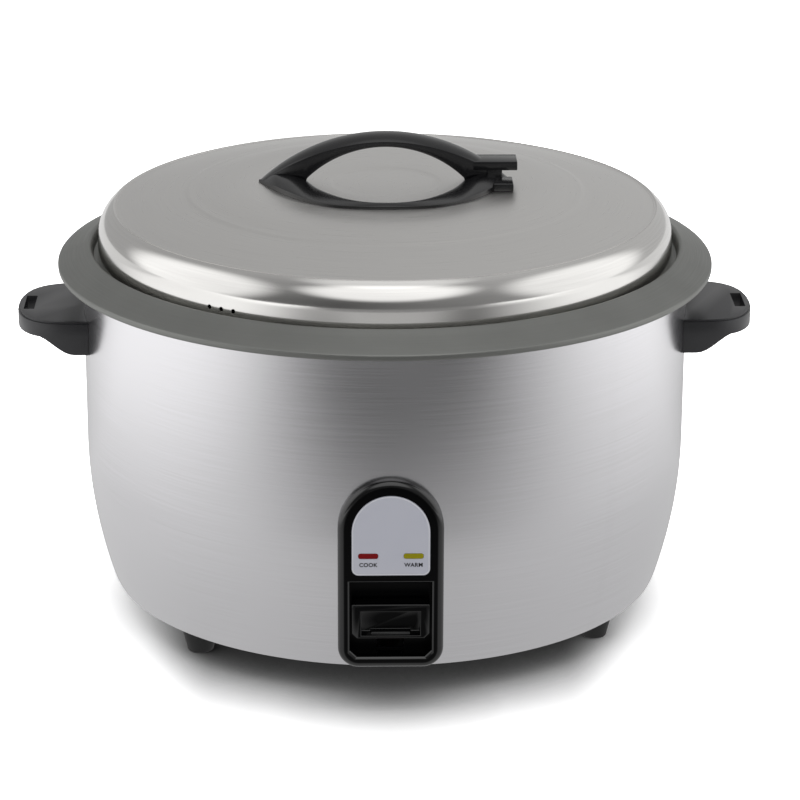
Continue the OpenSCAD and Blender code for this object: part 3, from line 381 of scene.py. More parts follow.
def label_ring(bm, grown, depth):
    """A ring round the label plate's outline, grown by a margin, at a depth behind the panel's face."""
    outline = arched(LABEL_HALF + grown, LABEL_TOP + grown, LABEL_BOTTOM - grown, LABEL_CORNER + grown)
    return loop(bm, outline, depth - PANEL_FACE)


bm = bmesh.new()
rings = [loop(bm, arched(PANEL_HALF, PANEL_TOP, PANEL_BOTTOM, PANEL_CORNER), on_drum)]
for step in range(9):
    a = math.radians(90 * step / 8)
    outline = arched(PANEL_HALF, PANEL_TOP, PANEL_BOTTOM, PANEL_CORNER, RIM_R * (1 - math.cos(a)))
    rings.append(loop(bm, outline, RIM_R * (1 - math.sin(a)) - PANEL_FACE))
joined(bm, *rings)
bed = [label_ring(bm, 0.0004, 0.0), label_ring(bm, 0.00015, 0.0003), label_ring(bm, 0.00015, 0.0009)]
well = [loop(bm, recess(inset), depth - PANEL_FACE)
        for inset, depth in ((0.0013, 0.0), (0.0011, 0.0001), (0.0004, 0.0007), (0.0001, 0.0011), (0.0, 0.0017))]
well.append(loop(bm, recess(0.0), -RECESS_BACK))
joined(bm, *bed)
joined(bm, *well)
arm_slot = loop(bm, [(-ARM_SLOT_HALF, ARM_SLOT_LOW), (ARM_SLOT_HALF, ARM_SLOT_LOW),
                     (ARM_SLOT_HALF, ARM_SLOT_TOP), (-ARM_SLOT_HALF, ARM_SLOT_TOP)], -RECESS_BACK)
for edges in (rings[-1] + bed[0] + well[0], bed[-1], well[-1] + arm_slot):
    bmesh.ops.triangle_fill(bm, use_beauty=True, use_dissolve=False, edges=edges, normal=(0, -1, 0))
bmesh.ops.recalc_face_normals(bm, faces=bm.faces)
piece("panel_housing", bm, "base", black_abs, ["control_panel"], sharp=24)


# ---- Label plate -------------------------------------------------------------
# A printed plastic plate, pale lavender grey with a lighter printed border, glued into its bed on the panel. The
# two words are printed under the windows for the lamps.

# Printed sheet and inks: flat colours under one even, satin surface
printed, *_ = mottled("printed polycarbonate", "#babcc8", "#c2c3cc", 45.0, 3.0, Roughness=0.3, IOR=1.58)
border_ink, *_ = mottled("pale border ink", "#cfd0d6", "#dcdde2", 300.0, Roughness=0.3, IOR=1.5)
word_ink, *_ = mottled("black screen print", "#101013", "#1c1c20", 900.0, Roughness=0.45, IOR=1.5)

LENS_X = 0.013
LENS_Z = 0.0977
WINDOW_HALF_W = 0.0058
WINDOW_HALF_H = 0.0017
LENS_GAP = 0.0001
WORD_Z = 0.0922
WORD_SIZE = 0.0033
# the plate stands this far proud of the panel's face, and each layer of ink a little further
PROUD = 0.0001
BORDER_PROUD = 0.00015
WORD_PROUD = 0.0002


def lens_bar(x, inset):
    """The outline of a lens window, inset by a margin, with rounded corners in X and Z."""
    half_w, half_h, corner = WINDOW_HALF_W - inset, WINDOW_HALF_H - inset, 0.0014 - inset
    points = []
    for sx, sz, start in ((1, 1, 0), (-1, 1, 90), (-1, -1, 180), (1, -1, 270)):
        points += arc((x + sx * (half_w - corner), LENS_Z + sz * (half_h - corner)), corner, start, start + 90, 6)
    return points


bm = bmesh.new()
face = label_ring(bm, -0.0001, -PROUD)
joined(bm, face, label_ring(bm, 0.0, 0.0), label_ring(bm, 0.0, LABEL_T))
windows = [loop(bm, lens_bar(x, 0.0), -PANEL_FACE - PROUD) for x in (-LENS_X, LENS_X)]
sills = [loop(bm, lens_bar(x, 0.0), -PANEL_FACE + LABEL_T) for x in (-LENS_X, LENS_X)]
for window, sill in zip(windows, sills):
    joined(bm, window, sill)
bmesh.ops.triangle_fill(bm, use_beauty=True, edges=face + windows[0] + windows[1], normal=(0, -1, 0))
bmesh.ops.recalc_face_normals(bm, faces=bm.faces)
piece("label_face", bm, "base", printed, ["label_plate"])

bm = bmesh.new()
joined(bm, label_ring(bm, -0.0003, -BORDER_PROUD), label_ring(bm, -0.0009, -BORDER_PROUD))
bmesh.ops.recalc_face_normals(bm, faces=bm.faces)
if sum(f.normal.y for f in bm.faces) > 0:
    bmesh.ops.reverse_faces(bm, faces=bm.faces)
piece("label_border", bm, "base", border_ink)

for word, x in (("COOK", -LENS_X), ("WARM", LENS_X)):
    text = bpy.data.curves.new(f"word_{word.lower()}", "FONT")
    text.body = word
    text.size = WORD_SIZE
    text.space_character = 1.08
    text.offset = 0.00009
    text.align_x = "CENTER"
    text.align_y = "CENTER"
    lettering = bpy.data.objects.new(f"lettering_{word.lower()}", text)
    bpy.context.scene.collection.objects.link(lettering)
    bpy.context.view_layer.update()
    flat = bpy.data.meshes.new_from_object(lettering)
    bpy.data.objects.remove(lettering)
    upright = Matrix.Rotation(math.radians(90), 4, "X")
    flat.transform(Matrix.Translation((x, -PANEL_FACE - WORD_PROUD, WORD_Z)) @ upright)
    flat.materials.clear()
    flat.materials.append(word_ink)
    printed_word = bpy.data.objects.new(f"word_{word.lower()}", flat)
    bpy.context.scene.collection.objects.link(printed_word)
    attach(printed_word, "base")


# ---- Lamp lenses -------------------------------------------------------------
# Two moulded acrylic bars, deep red for cooking and olive yellow for keeping warm. They sit in the label plate's
# windows, and neon lamps light them from behind.

LENS_PROUD = 0.0005

for label, x, dark, light, node, slot in (
        ("red", -LENS_X, "#6c0207", "#83040a", "cook_lens", "red_lens"),
        ("yellow", LENS_X, "#8a8206", "#9a920c", "warm_lens", "yellow_lens")):
    acrylic, *_ = mottled(f"{label} acrylic", dark, light, 260.0, Roughness=0.18, IOR=1.49, Specular_IOR_Level=0.2)
    bm = bmesh.new()
    rings = [loop(bm, lens_bar(x, LENS_GAP + inset), -PANEL_FACE - LENS_PROUD + depth)
             for inset, depth in ((0.0, 0.0048), (0.0, 0.0004), (0.0001, 0.00015), (0.0003, 0.0))]
    joined(bm, *rings)
    for ring in (rings[0], rings[-1]):
        bmesh.ops.edgeloop_fill(bm, edges=ring)
    bmesh.ops.recalc_face_normals(bm, faces=bm.faces)
    piece(f"lens_{label}", bm, "base", acrylic, [node])


# ---- Cook lever --------------------------------------------------------------
# The lever's paddle, moulded in gloss black ABS: a full-width bar over a cup for the fingertip, with a rib
# across the cup's floor. Its steel arm runs back under the heating plate.

bm = softened("lever_paddle", 0.0006, segments=2)
piece("paddle", bm, "lever", black_abs, ["lever_paddle"], sharp=40)


# ---- Heater and thermostat ---------------------------------------------------
# Under the pot: a cast aluminium plate with a turned face, a sheathed heater in its groove, and the spring-loaded
# magnetic thermostat in the middle.

TURNING_STEP = 0.0012

# Cast aluminium, turned: sandy and pale, with fine rings where the tool went round
cast, tree, shader, place = mottled("turned cast aluminium", "#b3b3b2", "#c9c9ca", 500.0, 3.0, rough=(0.3, 0.42),
                                    Metallic=1.0)
xyz = add(tree, "ShaderNodeSeparateXYZ", {0: place}).outputs
flat = add(tree, "ShaderNodeCombineXYZ", {0: xyz[0], 1: xyz[1], 2: 0.0}).outputs[0]
reach = add(tree, "ShaderNodeVectorMath", {0: flat}, operation="LENGTH").outputs["Value"]
marks = add(tree, "ShaderNodeMath", {0: reach, 1: 2 * math.pi / TURNING_STEP}, operation="MULTIPLY").outputs[0]
wave = add(tree, "ShaderNodeMath", {0: marks}, operation="SINE").outputs[0]
ridges = add(tree, "ShaderNodeBump", {"Height": wave, "Strength": 0.2, "Distance": 0.0001})
tree.links.new(ridges.outputs[0], shader.inputs["Normal"])
coat(cast, "heating_plate", "sensor_cap")

# Steel browned by heat: a dull, uneven, warm dark metal
scorched, *_ = mottled("heat darkened steel", "#4a433d", "#6c6258", 120.0, 5.0, Metallic=1.0, Roughness=0.5)
coat(scorched, "heater_tube")

spring_wire, *_ = mottled("drawn spring wire", "#8d8d8e", "#adadae", 900.0, Metallic=1.0, Roughness=0.3)
coat(spring_wire, "sensor_spring", "magnet_spring")

# Sintered ferrite: a dark grey ceramic with a fine dry grain
ferrite, *_ = mottled("sintered ferrite", "#232325", "#38383b", 1500.0, 3.0, Roughness=0.55, IOR=2.2)
coat(ferrite, "sensor_ferrite", "magnet")


# ---- Switch, keep-warm thermostat, lamps, inlet and wiring --------------------
# The electric parts inside the base: moulded switch and inlet, steatite thermostat, brass pins and PVC wire. All
# but the inlet's moulding keep their CAD shapes.

# Neon lamp glass: smooth, clear and a little warm
glass, *_ = mottled("lamp glass", "#e6dfd0", "#f2ece0", 200.0, Roughness=0.05, IOR=1.5, Alpha=0.6)
coat(glass, "cook_lamp", "warm_lamp")

for name, dark, light, roughness, nodes in (
        ("steatite", "#cfc3a8", "#ddd3bd", 0.6, ["warm_thermostat"]),
        ("red nylon", "#8d231c", "#a02a22", 0.35, ["switch_button"]),
        ("brown wire insulation", "#6b4024", "#7d4c2c", 0.42, ["live_wire"]),
        ("blue wire insulation", "#23407f", "#2d4f98", 0.42, ["neutral_wire"]),
        ("green wire insulation", "#417a2a", "#55913a", 0.42, ["earth_wire"])):
    stuff, *_ = mottled(name, dark, light, 400.0, 3.0, Roughness=roughness, IOR=1.52)
    coat(stuff, *nodes)

# Bright brass: a warm yellow metal, lightly clouded
brass, *_ = mottled("bright brass", "#c9a44e", "#dcbc68", 500.0, 3.0, rough=(0.18, 0.32), Metallic=1.0)
coat(brass, "inlet_pins", "thermal_fuse")
coat(phenolic, "switch_body")

bm = softened("inlet_housing", 0.0006, segments=2)
piece("inlet_moulding", bm, "base", phenolic, ["inlet_housing"], sharp=40)


# ---- Pot ---------------------------------------------------------------------
# A pressed aluminium pot, hard anodised dark grey and matt. Its broad flange slopes up to a ridge and has a
# turned-down edge, and inside the ridge a ledge carries the lid.

# Hard anodised: a dark grey, soft sheen with faint spinning lines and slow clouds of tone
anodised, tree, shader, place = mottled("hard anodised aluminium", "#80817e", "#8c8d8a", 30.0, 4.0, Metallic=0.85,
                                        IOR=1.6)
xyz = add(tree, "ShaderNodeSeparateXYZ", {0: place}).outputs
turn = add(tree, "ShaderNodeMath", {0: xyz[1], 1: xyz[0]}, operation="ARCTAN2").outputs[0]
flat = add(tree, "ShaderNodeCombineXYZ", {0: xyz[0], 1: xyz[1], 2: 0.0}).outputs[0]
reach = add(tree, "ShaderNodeVectorMath", {0: flat}, operation="LENGTH").outputs["Value"]
rings_of = add(tree, "ShaderNodeCombineXYZ", {0: turn, 1: reach, 2: xyz[2]}).outputs[0]
lines = add(tree, "ShaderNodeMapping", {0: rings_of, "Scale": (4.0, 1400.0, 1400.0)}).outputs[0]
grain = add(tree, "ShaderNodeTexNoise", {"Vector": lines, "Scale": 1.0, "Detail": 3.0})
rough = add(tree, "ShaderNodeMapRange", {0: grain.outputs[0], 1: 0.3, 2: 0.7, 3: 0.42, 4: 0.52})
tree.links.new(rough.outputs[0], shader.inputs["Roughness"])
ridges = add(tree, "ShaderNodeBump", {"Height": grain.outputs[0], "Strength": 0.05, "Distance": 0.0002})
tree.links.new(ridges.outputs[0], shader.inputs["Normal"])

POT_T = 0.0022
POT_FLOOR = 0.0703
BOWL_R = 0.168
BOWL_CORNER = 0.034
LEDGE_Z = 0.22333
WELL_R = 0.1788
RIDGE_R = 0.1812
RIDGE_Z = 0.23073
RIDGE_ROUND = 0.0018
FLANGE_R = 0.2
EDGE_Z = 0.22173
POT_STEPS = 240

bowl_centre = (BOWL_R - BOWL_CORNER, POT_FLOOR + BOWL_CORNER)
ledge_under, ridge_under, edge_under = LEDGE_Z - POT_T, RIDGE_Z - POT_T, EDGE_Z - POT_T
pot_outside = [(0.0, POT_FLOOR), (0.06, POT_FLOOR)] + arc(bowl_centre, BOWL_CORNER, -90, -2, 18)
pot_outside += [(0.172, ledge_under - 0.001), (0.1728, ledge_under), (WELL_R + 0.0017, ledge_under)]
pot_outside += [(WELL_R + POT_T, ledge_under + 0.0006), (WELL_R + POT_T, ridge_under - 0.0012)]
pot_outside += [(WELL_R + POT_T + 0.0008, ridge_under - 0.0005), (FLANGE_R - 0.0028, edge_under + 0.0008)]
pot_outside += [(FLANGE_R - POT_T, edge_under - 0.0002), (FLANGE_R - POT_T, EDGE_Z - 0.0039)]
# the turned-down edge, the slope up to the ridge, the ridge, the well, the ledge and the bowl
pot_inside = arc((FLANGE_R - 0.0011, EDGE_Z - 0.0029), 0.0011, -90, 0, 4)
pot_inside += arc((FLANGE_R - 0.0014, EDGE_Z - 0.0014), 0.0014, 0, 64, 6)
pot_inside += [(FLANGE_R - 0.005, EDGE_Z + 0.0021), (FLANGE_R - 0.0115, EDGE_Z + 0.00522)]
pot_inside += [(FLANGE_R - 0.0165, EDGE_Z + 0.0078)]
pot_inside += arc((RIDGE_R, RIDGE_Z - RIDGE_ROUND), RIDGE_ROUND, 60, 168, 9)
pot_inside += [(WELL_R + 0.0001, RIDGE_Z - 0.0022), (WELL_R, LEDGE_Z + 0.0012)]
pot_inside += arc((WELL_R - 0.0012, LEDGE_Z + 0.0012), 0.0012, 0, -90, 4)
pot_inside += [(0.1715, LEDGE_Z)] + arc((0.1712, LEDGE_Z - 0.0014), 0.0014, 90, 180, 5)
pot_inside += reversed(arc(bowl_centre, BOWL_CORNER - POT_T, -90, -2, 18))
pot_inside += [(0.06, POT_FLOOR + POT_T), (0.0, POT_FLOOR + POT_T)]
bm = spun(pot_outside + pot_inside, POT_STEPS)
piece("pot", bm, "pot", anodised, ["inner_pot"], sharp=38)


# ---- Lid ---------------------------------------------------------------------
# A spun stainless steel lid, brushed in rings on top and polished on its round shoulder. A fine crease, a
# pressed ring and a round eye in the middle stiffen it, and three small holes let the steam out.

LID_R = 0.1755
LID_FOOT = 0.22363
LID_TOP = 0.26683
CREASE_R = 0.166
CREASE_Z = 0.25433
BEAD_R = 0.118
BEAD_Z = 0.26263
PAD_R = 0.082
EYE_R = 0.031
LID_T = 0.001
SKIRT_H = 0.014
LID_STEPS = 400
STEAM_Z = 0.23203
STEAM_R = 0.00132
# degrees from the front towards the left
STEAM_ANGLES = (30.6, 33.3, 36.0)

# Spun stainless steel: fine belt rings about 0.7 mm apart on top, and a mirror-like shoulder
lid_steel, tree, shader = surface("spun stainless steel", Metallic=1.0)
place = add(tree, "ShaderNodeTexCoord").outputs["Object"]
xyz = add(tree, "ShaderNodeSeparateXYZ", {0: place}).outputs
turn = add(tree, "ShaderNodeMath", {0: xyz[1], 1: xyz[0]}, operation="ARCTAN2").outputs[0]
flat = add(tree, "ShaderNodeCombineXYZ", {0: xyz[0], 1: xyz[1], 2: 0.0}).outputs[0]
reach = add(tree, "ShaderNodeVectorMath", {0: flat}, operation="LENGTH").outputs["Value"]
ringed = add(tree, "ShaderNodeCombineXYZ", {0: turn, 1: reach, 2: 0.0}).outputs[0]
lines = add(tree, "ShaderNodeMapping", {0: ringed, "Scale": (2.5, 1500.0, 1.0)}).outputs[0]
grain = add(tree, "ShaderNodeTexNoise", {"Vector": lines, "Scale": 1.0, "Detail": 3.0, "Roughness": 0.6})
# the belt stops at the crease: the shoulder outside it is polished
polish = add(tree, "ShaderNodeMapRange", {0: reach, 1: 0.1645, 2: 0.1665, 3: 0.0, 4: 1.0}).outputs[0]
tone = add(tree, "ShaderNodeMix", {0: grain.outputs[0], 6: linear("#d3d1cf"), 7: linear("#e3e2df")},
           data_type="RGBA")
tree.links.new(tone.outputs[2], shader.inputs["Base Color"])
brushed = add(tree, "ShaderNodeMapRange", {0: grain.outputs[0], 1: 0.3, 2: 0.7, 3: 0.27, 4: 0.34}).outputs[0]
rough = add(tree, "ShaderNodeMix", {0: polish, 2: brushed, 3: 0.13}, data_type="FLOAT")
tree.links.new(rough.outputs[0], shader.inputs["Roughness"])
strength = add(tree, "ShaderNodeMapRange", {0: polish, 1: 0.0, 2: 1.0, 3: 0.05, 4: 0.004}).outputs[0]
ridges = add(tree, "ShaderNodeBump", {"Height": grain.outputs[0], "Strength": strength, "Distance": 0.0002})
tree.links.new(ridges.outputs[0], shader.inputs["Normal"])

shoulder_w = LID_R - CREASE_R
shoulder_h = CREASE_Z - LID_FOOT - SKIRT_H
shoulder_r = (shoulder_w ** 2 + shoulder_h ** 2) / (2 * shoulder_w)
shoulder_a = math.degrees(math.asin(shoulder_h / shoulder_r))
# the skirt leans in a little, and its middle band is as high as the steam holes need
hole_band = 0.00137
outline = [(LID_R, LID_FOOT), (LID_R - 0.0001, STEAM_Z - 0.0042), (LID_R - 0.0002, STEAM_Z - hole_band)]
outline += [(LID_R - 0.0003, STEAM_Z + hole_band), (LID_R - 0.0004, STEAM_Z + 0.0034)]
outline += arc((LID_R - 0.0005 - shoulder_r, LID_FOOT + SKIRT_H), shoulder_r, 1.5, shoulder_a, 20)
crease = ((0.0004, 0.0001), (0.0009, -0.0002), (0.0014, -0.0004), (0.0022, -0.0004))
outline += [(CREASE_R - inwards, CREASE_Z + upwards) for inwards, upwards in crease]
# a gentle crown from the crease to the pressed ring
crown_from, crown_to = CREASE_R - 0.0022, BEAD_R + 0.005
crown_rise = BEAD_Z - CREASE_Z - 0.0008
for s in (i / 12 for i in range(1, 13)):
    height = CREASE_Z - 0.0004 + crown_rise * (s + s * (1 - s) / 4)
    outline.append((crown_from + (crown_to - crown_from) * s, height))
bead = ((0.0035, -0.0009), (0.0022, -0.0003), (0.001, -0.00003), (0.0, 0.0))
outline += [(BEAD_R + outwards, BEAD_Z + upwards) for outwards, upwards in bead]
for s in (i / 8 for i in range(1, 9)):
    outline.append((BEAD_R - (BEAD_R - PAD_R) * s, BEAD_Z + (LID_TOP - BEAD_Z) * s * (2 - s)))
outline += [(0.06, LID_TOP)]
eye = ((0.004, 0.0), (0.0028, -0.00012), (0.0018, -0.0004), (0.0004, -0.00062), (-0.001, -0.0007),
       (-EYE_R / 2, -0.0007), (-EYE_R, -0.0007))
outline += [(EYE_R + outwards, LID_TOP + upwards) for outwards, upwards in eye]
# the faces round the skirt are 0.9 degrees wide and start half a face aside, so every steam hole falls in the
# middle of one
bm = spun(outline, LID_STEPS, math.pi / LID_STEPS)
for angle in STEAM_ANGLES:
    a = math.radians(angle)
    out = Vector((-math.sin(a), -math.cos(a), 0))
    middle = out * LID_R + Vector((0, 0, STEAM_Z))
    face = min(bm.faces, key=lambda f: (f.calc_center_median() - middle).length)
    bmesh.ops.inset_individual(bm, faces=[face], thickness=0.00002, depth=0.0)
    bmesh.ops.subdivide_edges(bm, edges=face.edges[:], cuts=3, use_grid_fill=False)
    for v in face.verts:
        across = (v.co - middle) - out * (v.co - middle).dot(out)
        v.co += across.normalized() * STEAM_R - across
    bmesh.ops.delete(bm, geom=[face], context="FACES")
bmesh.ops.solidify(bm, geom=bm.faces[:], thickness=LID_T)
piece("lid_shell", bm, "lid", lid_steel, ["lid"], sharp=50)


# ---- Lid handle --------------------------------------------------------------
# One moulding in gloss black phenolic: a crowned grip that springs between two pointed feet, a low lip that bows
# forward on the lid, and a spoon rest of two tabs at the right foot.

# Polished phenolic: near black, with soft, slightly blurred highlights
grip_gloss, *_ = mottled("polished black phenolic", "#0f0f11", "#161618", 40.0, rough=(0.17, 0.24), IOR=1.58)

SEAT = 0.26688
GRIP_HALF = 0.077
GRIP_H = 0.031
GRIP_D = 0.011
FINGER_HALF = 0.049
FINGER_H = 0.0245
SILL = 0.0032
LIP_REACH = 0.062
LIP_HOLE_HALF = 0.0486
LIP_HOLE_NEAR = 0.011
LIP_HOLE_DEPTH = 0.047
LIP_H = 0.0028
LIP_END_H = 0.0068


def chord(x, half, height):
    """Height of a circular arch over its chord."""
    r = (half * half + height * height) / (2 * height)
    return math.sqrt(max(r * r - x * x, 0)) - r + height


def smooth(low, high, value):
    """0 below low, 1 above high, and a soft step between."""
    t = min(max((value - low) / (high - low), 0), 1)
    return t * t * (3 - 2 * t)


def slab(bm, top, bottom, count_x, count_y):
    """A grid from -1 to 1 each way, shaped by top(u, v), and closed below by bottom(u, v)."""
    start = bmesh.ops.create_grid(bm, x_segments=count_x, y_segments=count_y, size=1.0)["verts"]
    plan = {v: (v.co.x, v.co.y) for v in start}
    for v in start:
        v.co = Vector(top(*plan[v]))
    faces = [f for f in bm.faces if f.verts[0] in plan]
    keep = {tuple(round(c, 7) for c in v.co): plan[v] for v in start}
    under = bmesh.ops.extrude_face_region(bm, geom=faces, use_keep_orig=True)
    for v in [g for g in under["geom"] if isinstance(g, bmesh.types.BMVert)]:
        v.co = Vector(bottom(*keep[tuple(round(c, 7) for c in v.co)]))
    bmesh.ops.recalc_face_normals(bm, faces=bm.faces)


def grip_top(u, v):
    """The crown of the grip."""
    x = GRIP_HALF * u
    depth = GRIP_D * math.sqrt(max(1 - abs(u) ** 3, 0.004))
    height = chord(x, GRIP_HALF, GRIP_H) - 0.0034 * abs(v) ** 2.4 * (1 - abs(u) ** 4)
    return x, depth * v, SEAT + max(height, 0.0006)


def grip_under(u, v):
    """The underside of the grip: the arch over the fingers, and the two feet."""
    x, y, top = grip_top(u, v)
    arch = chord(x, FINGER_HALF, FINGER_H - SILL) + SILL if abs(x) < FINGER_HALF else 0.0
    arch *= smooth(FINGER_HALF + 0.0005, FINGER_HALF - 0.0015, abs(x))
    return x, y, min(SEAT + arch, top - 0.0003)


def lip_top(u, v):
    """The lip: a bow from foot to foot that runs forward round the finger opening and thins to its front."""
    x = GRIP_HALF * u
    far = LIP_REACH * (1 - abs(u) ** 2.9)
    t = abs(x) / LIP_HOLE_HALF
    if t < 1:
        near = LIP_HOLE_NEAR + LIP_HOLE_DEPTH * (1 - t ** 2.35)
    else:
        near = LIP_HOLE_NEAR * (1 - smooth(LIP_HOLE_HALF, GRIP_HALF, abs(x)))
    near = min(near, far - 0.0002)
    across = (v + 1) / 2
    height = LIP_H + (LIP_END_H - LIP_H) * smooth(0.040, 0.060, abs(x))
    height *= 1 - 0.55 * across ** 2
    height *= 1 - 0.8 * smooth(0.066, 0.077, abs(x))
    return x, -(near + (far - near) * across), SEAT + height


def lip_under(u, v):
    """The lip's flat underside."""
    x, y, _ = lip_top(u, v)
    return x, y, SEAT


for name, top, under, count_y, edge_round, nodes in (
        ("handle_grip", grip_top, grip_under, 14, 0.0005, ["lid_handle"]),
        ("handle_lip", lip_top, lip_under, 8, 0.0004, [])):
    bm = bmesh.new()
    slab(bm, top, under, 120, count_y)
    rounded(bm, folds(bm, 38), edge_round)
    piece(name, bm, "lid", grip_gloss, nodes, sharp=40)

# the upper tab, the lower tab and the web between them, as low and high corners over the lid
bm = bmesh.new()
for low, high in (((0.052, -0.009, 0.0090), (0.080, 0.009, 0.0145)),
                  ((0.065, -0.024, 0.0), (0.077, -0.006, 0.0045)),
                  ((0.062, -0.009, 0.0), (0.0708, 0.002, 0.0095))):
    for v in bmesh.ops.create_cube(bm, size=1.0)["verts"]:
        v.co = Vector([low[i] if v.co[i] < 0 else high[i] for i in range(3)]) + Vector((0, 0, SEAT))
rounded(bm, bm.edges[:], 0.0005)
piece("spoon_rest", bm, "lid", grip_gloss, sharp=40)


# ---- Floor, light and camera ---------------------------------------------------
# A white studio table. The sky is white to the camera and even for matt surfaces; in reflections it has a soft
# box over the camera, a white wall on each side, and the dim room behind the camera.

floor_bm = bmesh.new()
bmesh.ops.create_grid(floor_bm, x_segments=1, y_segments=1, size=6.0)
floor_mesh = bpy.data.meshes.new("table_top")
floor_bm.to_mesh(floor_mesh)
floor_bm.free()
floor = bpy.data.objects.new("table_top", floor_mesh)
bpy.context.scene.collection.objects.link(floor)
floor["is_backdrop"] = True
table_white = bpy.data.materials.new("white table")
table_white.use_nodes = True
tree = table_white.node_tree
tree.nodes.clear()
ray = add(tree, "ShaderNodeLightPath").outputs
place = add(tree, "ShaderNodeTexCoord").outputs["Object"]
xyz = add(tree, "ShaderNodeSeparateXYZ", {0: place}).outputs
side = add(tree, "ShaderNodeMath", {0: xyz[0]}, operation="ABSOLUTE").outputs[0]
# to the camera the open floor is white, and the soft shadow lies in front of the drum and fades out at its sides:
# the real shadow is deepened by a painted shadow, the floor's colour darkened by an occlusion measure, and the
# floor is painted white again beside the drum
shade = add(tree, "ShaderNodeAmbientOcclusion", {"Distance": 0.05}, samples=16)
# painted shadow: the occlusion measure darkens the floor's own colour, and beyond the drum's sides painted light
# lifts it back to white
painted_shadow = add(tree, "ShaderNodeMath", {0: shade.outputs["AO"], 1: 1.5}, operation="POWER").outputs[0]
painted_side_white = add(tree, "ShaderNodeMapRange", {0: side, 1: 0.105, 2: 0.155, 3: 0.0, 4: 1.1},
            interpolation_type="SMOOTHSTEP").outputs[0]
bright = add(tree, "ShaderNodeMath", {0: painted_shadow, 1: 1.95, 2: painted_side_white}, operation="MULTIPLY_ADD").outputs[0]
white = add(tree, "ShaderNodeMix", {0: ray["Is Camera Ray"], 2: 0.9, 3: bright}, data_type="FLOAT",
            clamp_result=False)
matt = add(tree, "ShaderNodeBsdfDiffuse", {"Color": white.outputs[0]})
# in reflections the floor brightens from the dim front to the lit sides, a little more on the left
lean = add(tree, "ShaderNodeMath", {0: xyz[1], 1: 0.6, 2: side}, operation="MULTIPLY_ADD").outputs[0]
lean = add(tree, "ShaderNodeMath", {0: xyz[0], 1: -0.2, 2: lean}, operation="MULTIPLY_ADD").outputs[0]
sweep = add(tree, "ShaderNodeMapRange", {0: lean, 1: -0.35, 2: 0.85, 3: 0.05, 4: 1.22},
            interpolation_type="SMOOTHSTEP")
# close to the drum it is evenly grey
reach = add(tree, "ShaderNodeVectorMath", {0: place}, operation="LENGTH").outputs["Value"]
far = add(tree, "ShaderNodeMapRange", {0: reach, 1: 0.26, 2: 0.8, 3: 0.0, 4: 1.0}, interpolation_type="SMOOTHSTEP")
left_of = add(tree, "ShaderNodeMath", {0: xyz[0], 1: -0.25, 2: side}, operation="MULTIPLY_ADD").outputs[0]
near = add(tree, "ShaderNodeMapRange", {0: left_of, 1: 0.0, 2: 0.36, 3: 0.5, 4: 0.72})
seen = add(tree, "ShaderNodeMix", {0: far.outputs[0], 2: near.outputs[0], 3: sweep.outputs[0]}, data_type="FLOAT")
# a lit strip lies 1.18 m in front, as wide as the drum, with dim light beyond it and less light behind the drum
strip = add(tree, "ShaderNodeMath", {0: xyz[1], 1: 1.18}, operation="ADD").outputs[0]
strip = add(tree, "ShaderNodeMath", {0: strip}, operation="ABSOLUTE").outputs[0]
strip = add(tree, "ShaderNodeMapRange", {0: strip, 1: 0.10, 2: 0.22, 3: 0.55, 4: 0.0},
            interpolation_type="SMOOTHSTEP").outputs[0]
middle = add(tree, "ShaderNodeMapRange", {0: side, 1: 0.2, 2: 0.75, 3: 1.0, 4: 0.15},
             interpolation_type="SMOOTHSTEP").outputs[0]
beyond = add(tree, "ShaderNodeMapRange", {0: xyz[1], 1: -1.1, 2: -1.5, 3: 0.0, 4: 0.25}).outputs[0]
behind = add(tree, "ShaderNodeMapRange", {0: xyz[1], 1: 0.2, 2: 0.55, 3: 0.0, 4: -0.42}).outputs[0]
edge = add(tree, "ShaderNodeMath", {0: strip, 1: middle, 2: beyond}, operation="MULTIPLY_ADD").outputs[0]
edge = add(tree, "ShaderNodeMath", {0: edge, 1: behind}, operation="ADD").outputs[0]
lit = add(tree, "ShaderNodeMath", {0: seen.outputs[0], 1: edge}, operation="ADD")
mirrored = add(tree, "ShaderNodeEmission", {"Strength": lit.outputs[0]})
both = add(tree, "ShaderNodeMixShader", {0: ray["Is Glossy Ray"], 1: matt.outputs[0], 2: mirrored.outputs[0]})
add(tree, "ShaderNodeOutputMaterial", {0: both.outputs[0]})
floor_mesh.materials.append(table_white)

world = bpy.data.worlds.new("studio")
bpy.context.scene.world = world
world.use_nodes = True
tree = world.node_tree
tree.nodes.clear()
ray = add(tree, "ShaderNodeLightPath").outputs
way = add(tree, "ShaderNodeTexCoord").outputs["Generated"]
xyz = add(tree, "ShaderNodeSeparateXYZ", {0: way}).outputs
# from the dim room behind the camera (y = -1) to the backdrop (y = 1)
room = add(tree, "ShaderNodeMapRange", {0: xyz[1], 1: -0.95, 2: 0.2, 3: 0.2, 4: 0.62}).outputs[0]
slant = add(tree, "ShaderNodeMapRange", {0: xyz[0], 1: -0.3, 2: 0.3, 3: -0.07, 4: 0.07}).outputs[0]
room = add(tree, "ShaderNodeMath", {0: room, 1: slant}, operation="ADD").outputs[0]
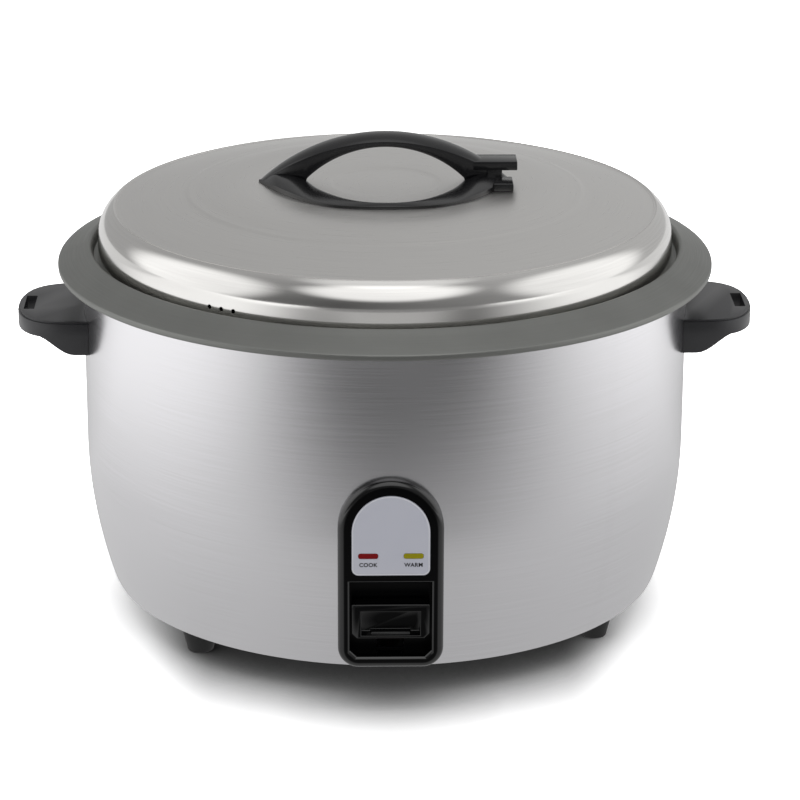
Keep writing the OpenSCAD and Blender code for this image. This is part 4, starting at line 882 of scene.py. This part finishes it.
# soft cards over the camera, overhead, on the left and on the right: way to the middle, cosines of the angles
# at which each starts and is full, and brightness
for towards, starts, full, level in (
        ((0.0, -0.62, 0.78), 0.84, 0.95, 1.25),
        ((0.0, -0.05, 1.0), 0.93, 0.985, 0.6),
        ((-0.93, -0.05, 0.36), 0.76, 0.92, 1.1),
        ((0.93, -0.05, 0.36), 0.78, 0.92, 0.9)):
    near = add(tree, "ShaderNodeVectorMath", {0: way, 1: Vector(towards).normalized()}, operation="DOT_PRODUCT")
    card = add(tree, "ShaderNodeMapRange", {0: near.outputs["Value"], 1: starts, 2: full, 3: 0.0, 4: level},
               interpolation_type="SMOOTHSTEP")
    room = add(tree, "ShaderNodeMath", {0: room, 1: card.outputs[0]}, operation="ADD").outputs[0]
even = add(tree, "ShaderNodeMix", {0: ray["Is Glossy Ray"], 2: 0.95, 3: room}, data_type="FLOAT")
level = add(tree, "ShaderNodeMix", {0: ray["Is Camera Ray"], 2: even.outputs[0], 3: 1.0}, data_type="FLOAT")
sky = add(tree, "ShaderNodeBackground", {"Strength": level.outputs[0]})
add(tree, "ShaderNodeOutputWorld", {0: sky.outputs[0]})

# the camera stands 2 m off, 16.6 degrees above the flange and a degree to the left of the panel, and it is
# turned a little down and to the right, which leaves room under the cooker
CAMERA_AWAY = 2.00167
CAMERA_RISE = math.radians(16.5829)
CAMERA_SWING = math.radians(1.1)
CAMERA_ROLL = math.radians(0.2)
TURNED_RIGHT = 0.004669
TURNED_DOWN = 0.045339

level_back = Vector((-math.sin(CAMERA_SWING), -math.cos(CAMERA_SWING), 0))
right = Vector((math.cos(CAMERA_SWING), -math.sin(CAMERA_SWING), 0))
back = level_back * math.cos(CAMERA_RISE) + Vector((0, 0, math.sin(CAMERA_RISE)))
up = Vector((0, 0, math.cos(CAMERA_RISE))) - level_back * math.sin(CAMERA_RISE)
camera_data = bpy.data.cameras.new("camera")
camera_data.sensor_width = 36
camera_data.lens = 146.5
camera_data.clip_start = 0.05
camera_data.clip_end = 50
camera = bpy.data.objects.new("camera", camera_data)
bpy.context.scene.collection.objects.link(camera)
bpy.context.scene.camera = camera
camera.location = Vector((0, 0, EDGE_Z)) + back * CAMERA_AWAY
level_head = (right * TURNED_RIGHT - back - up * TURNED_DOWN).to_track_quat("-Z", "Y").to_matrix()
camera.rotation_euler = (level_head @ Matrix.Rotation(CAMERA_ROLL, 3, "Z")).to_euler()
bpy.context.scene.view_settings.view_transform = "Standard"

low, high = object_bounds()
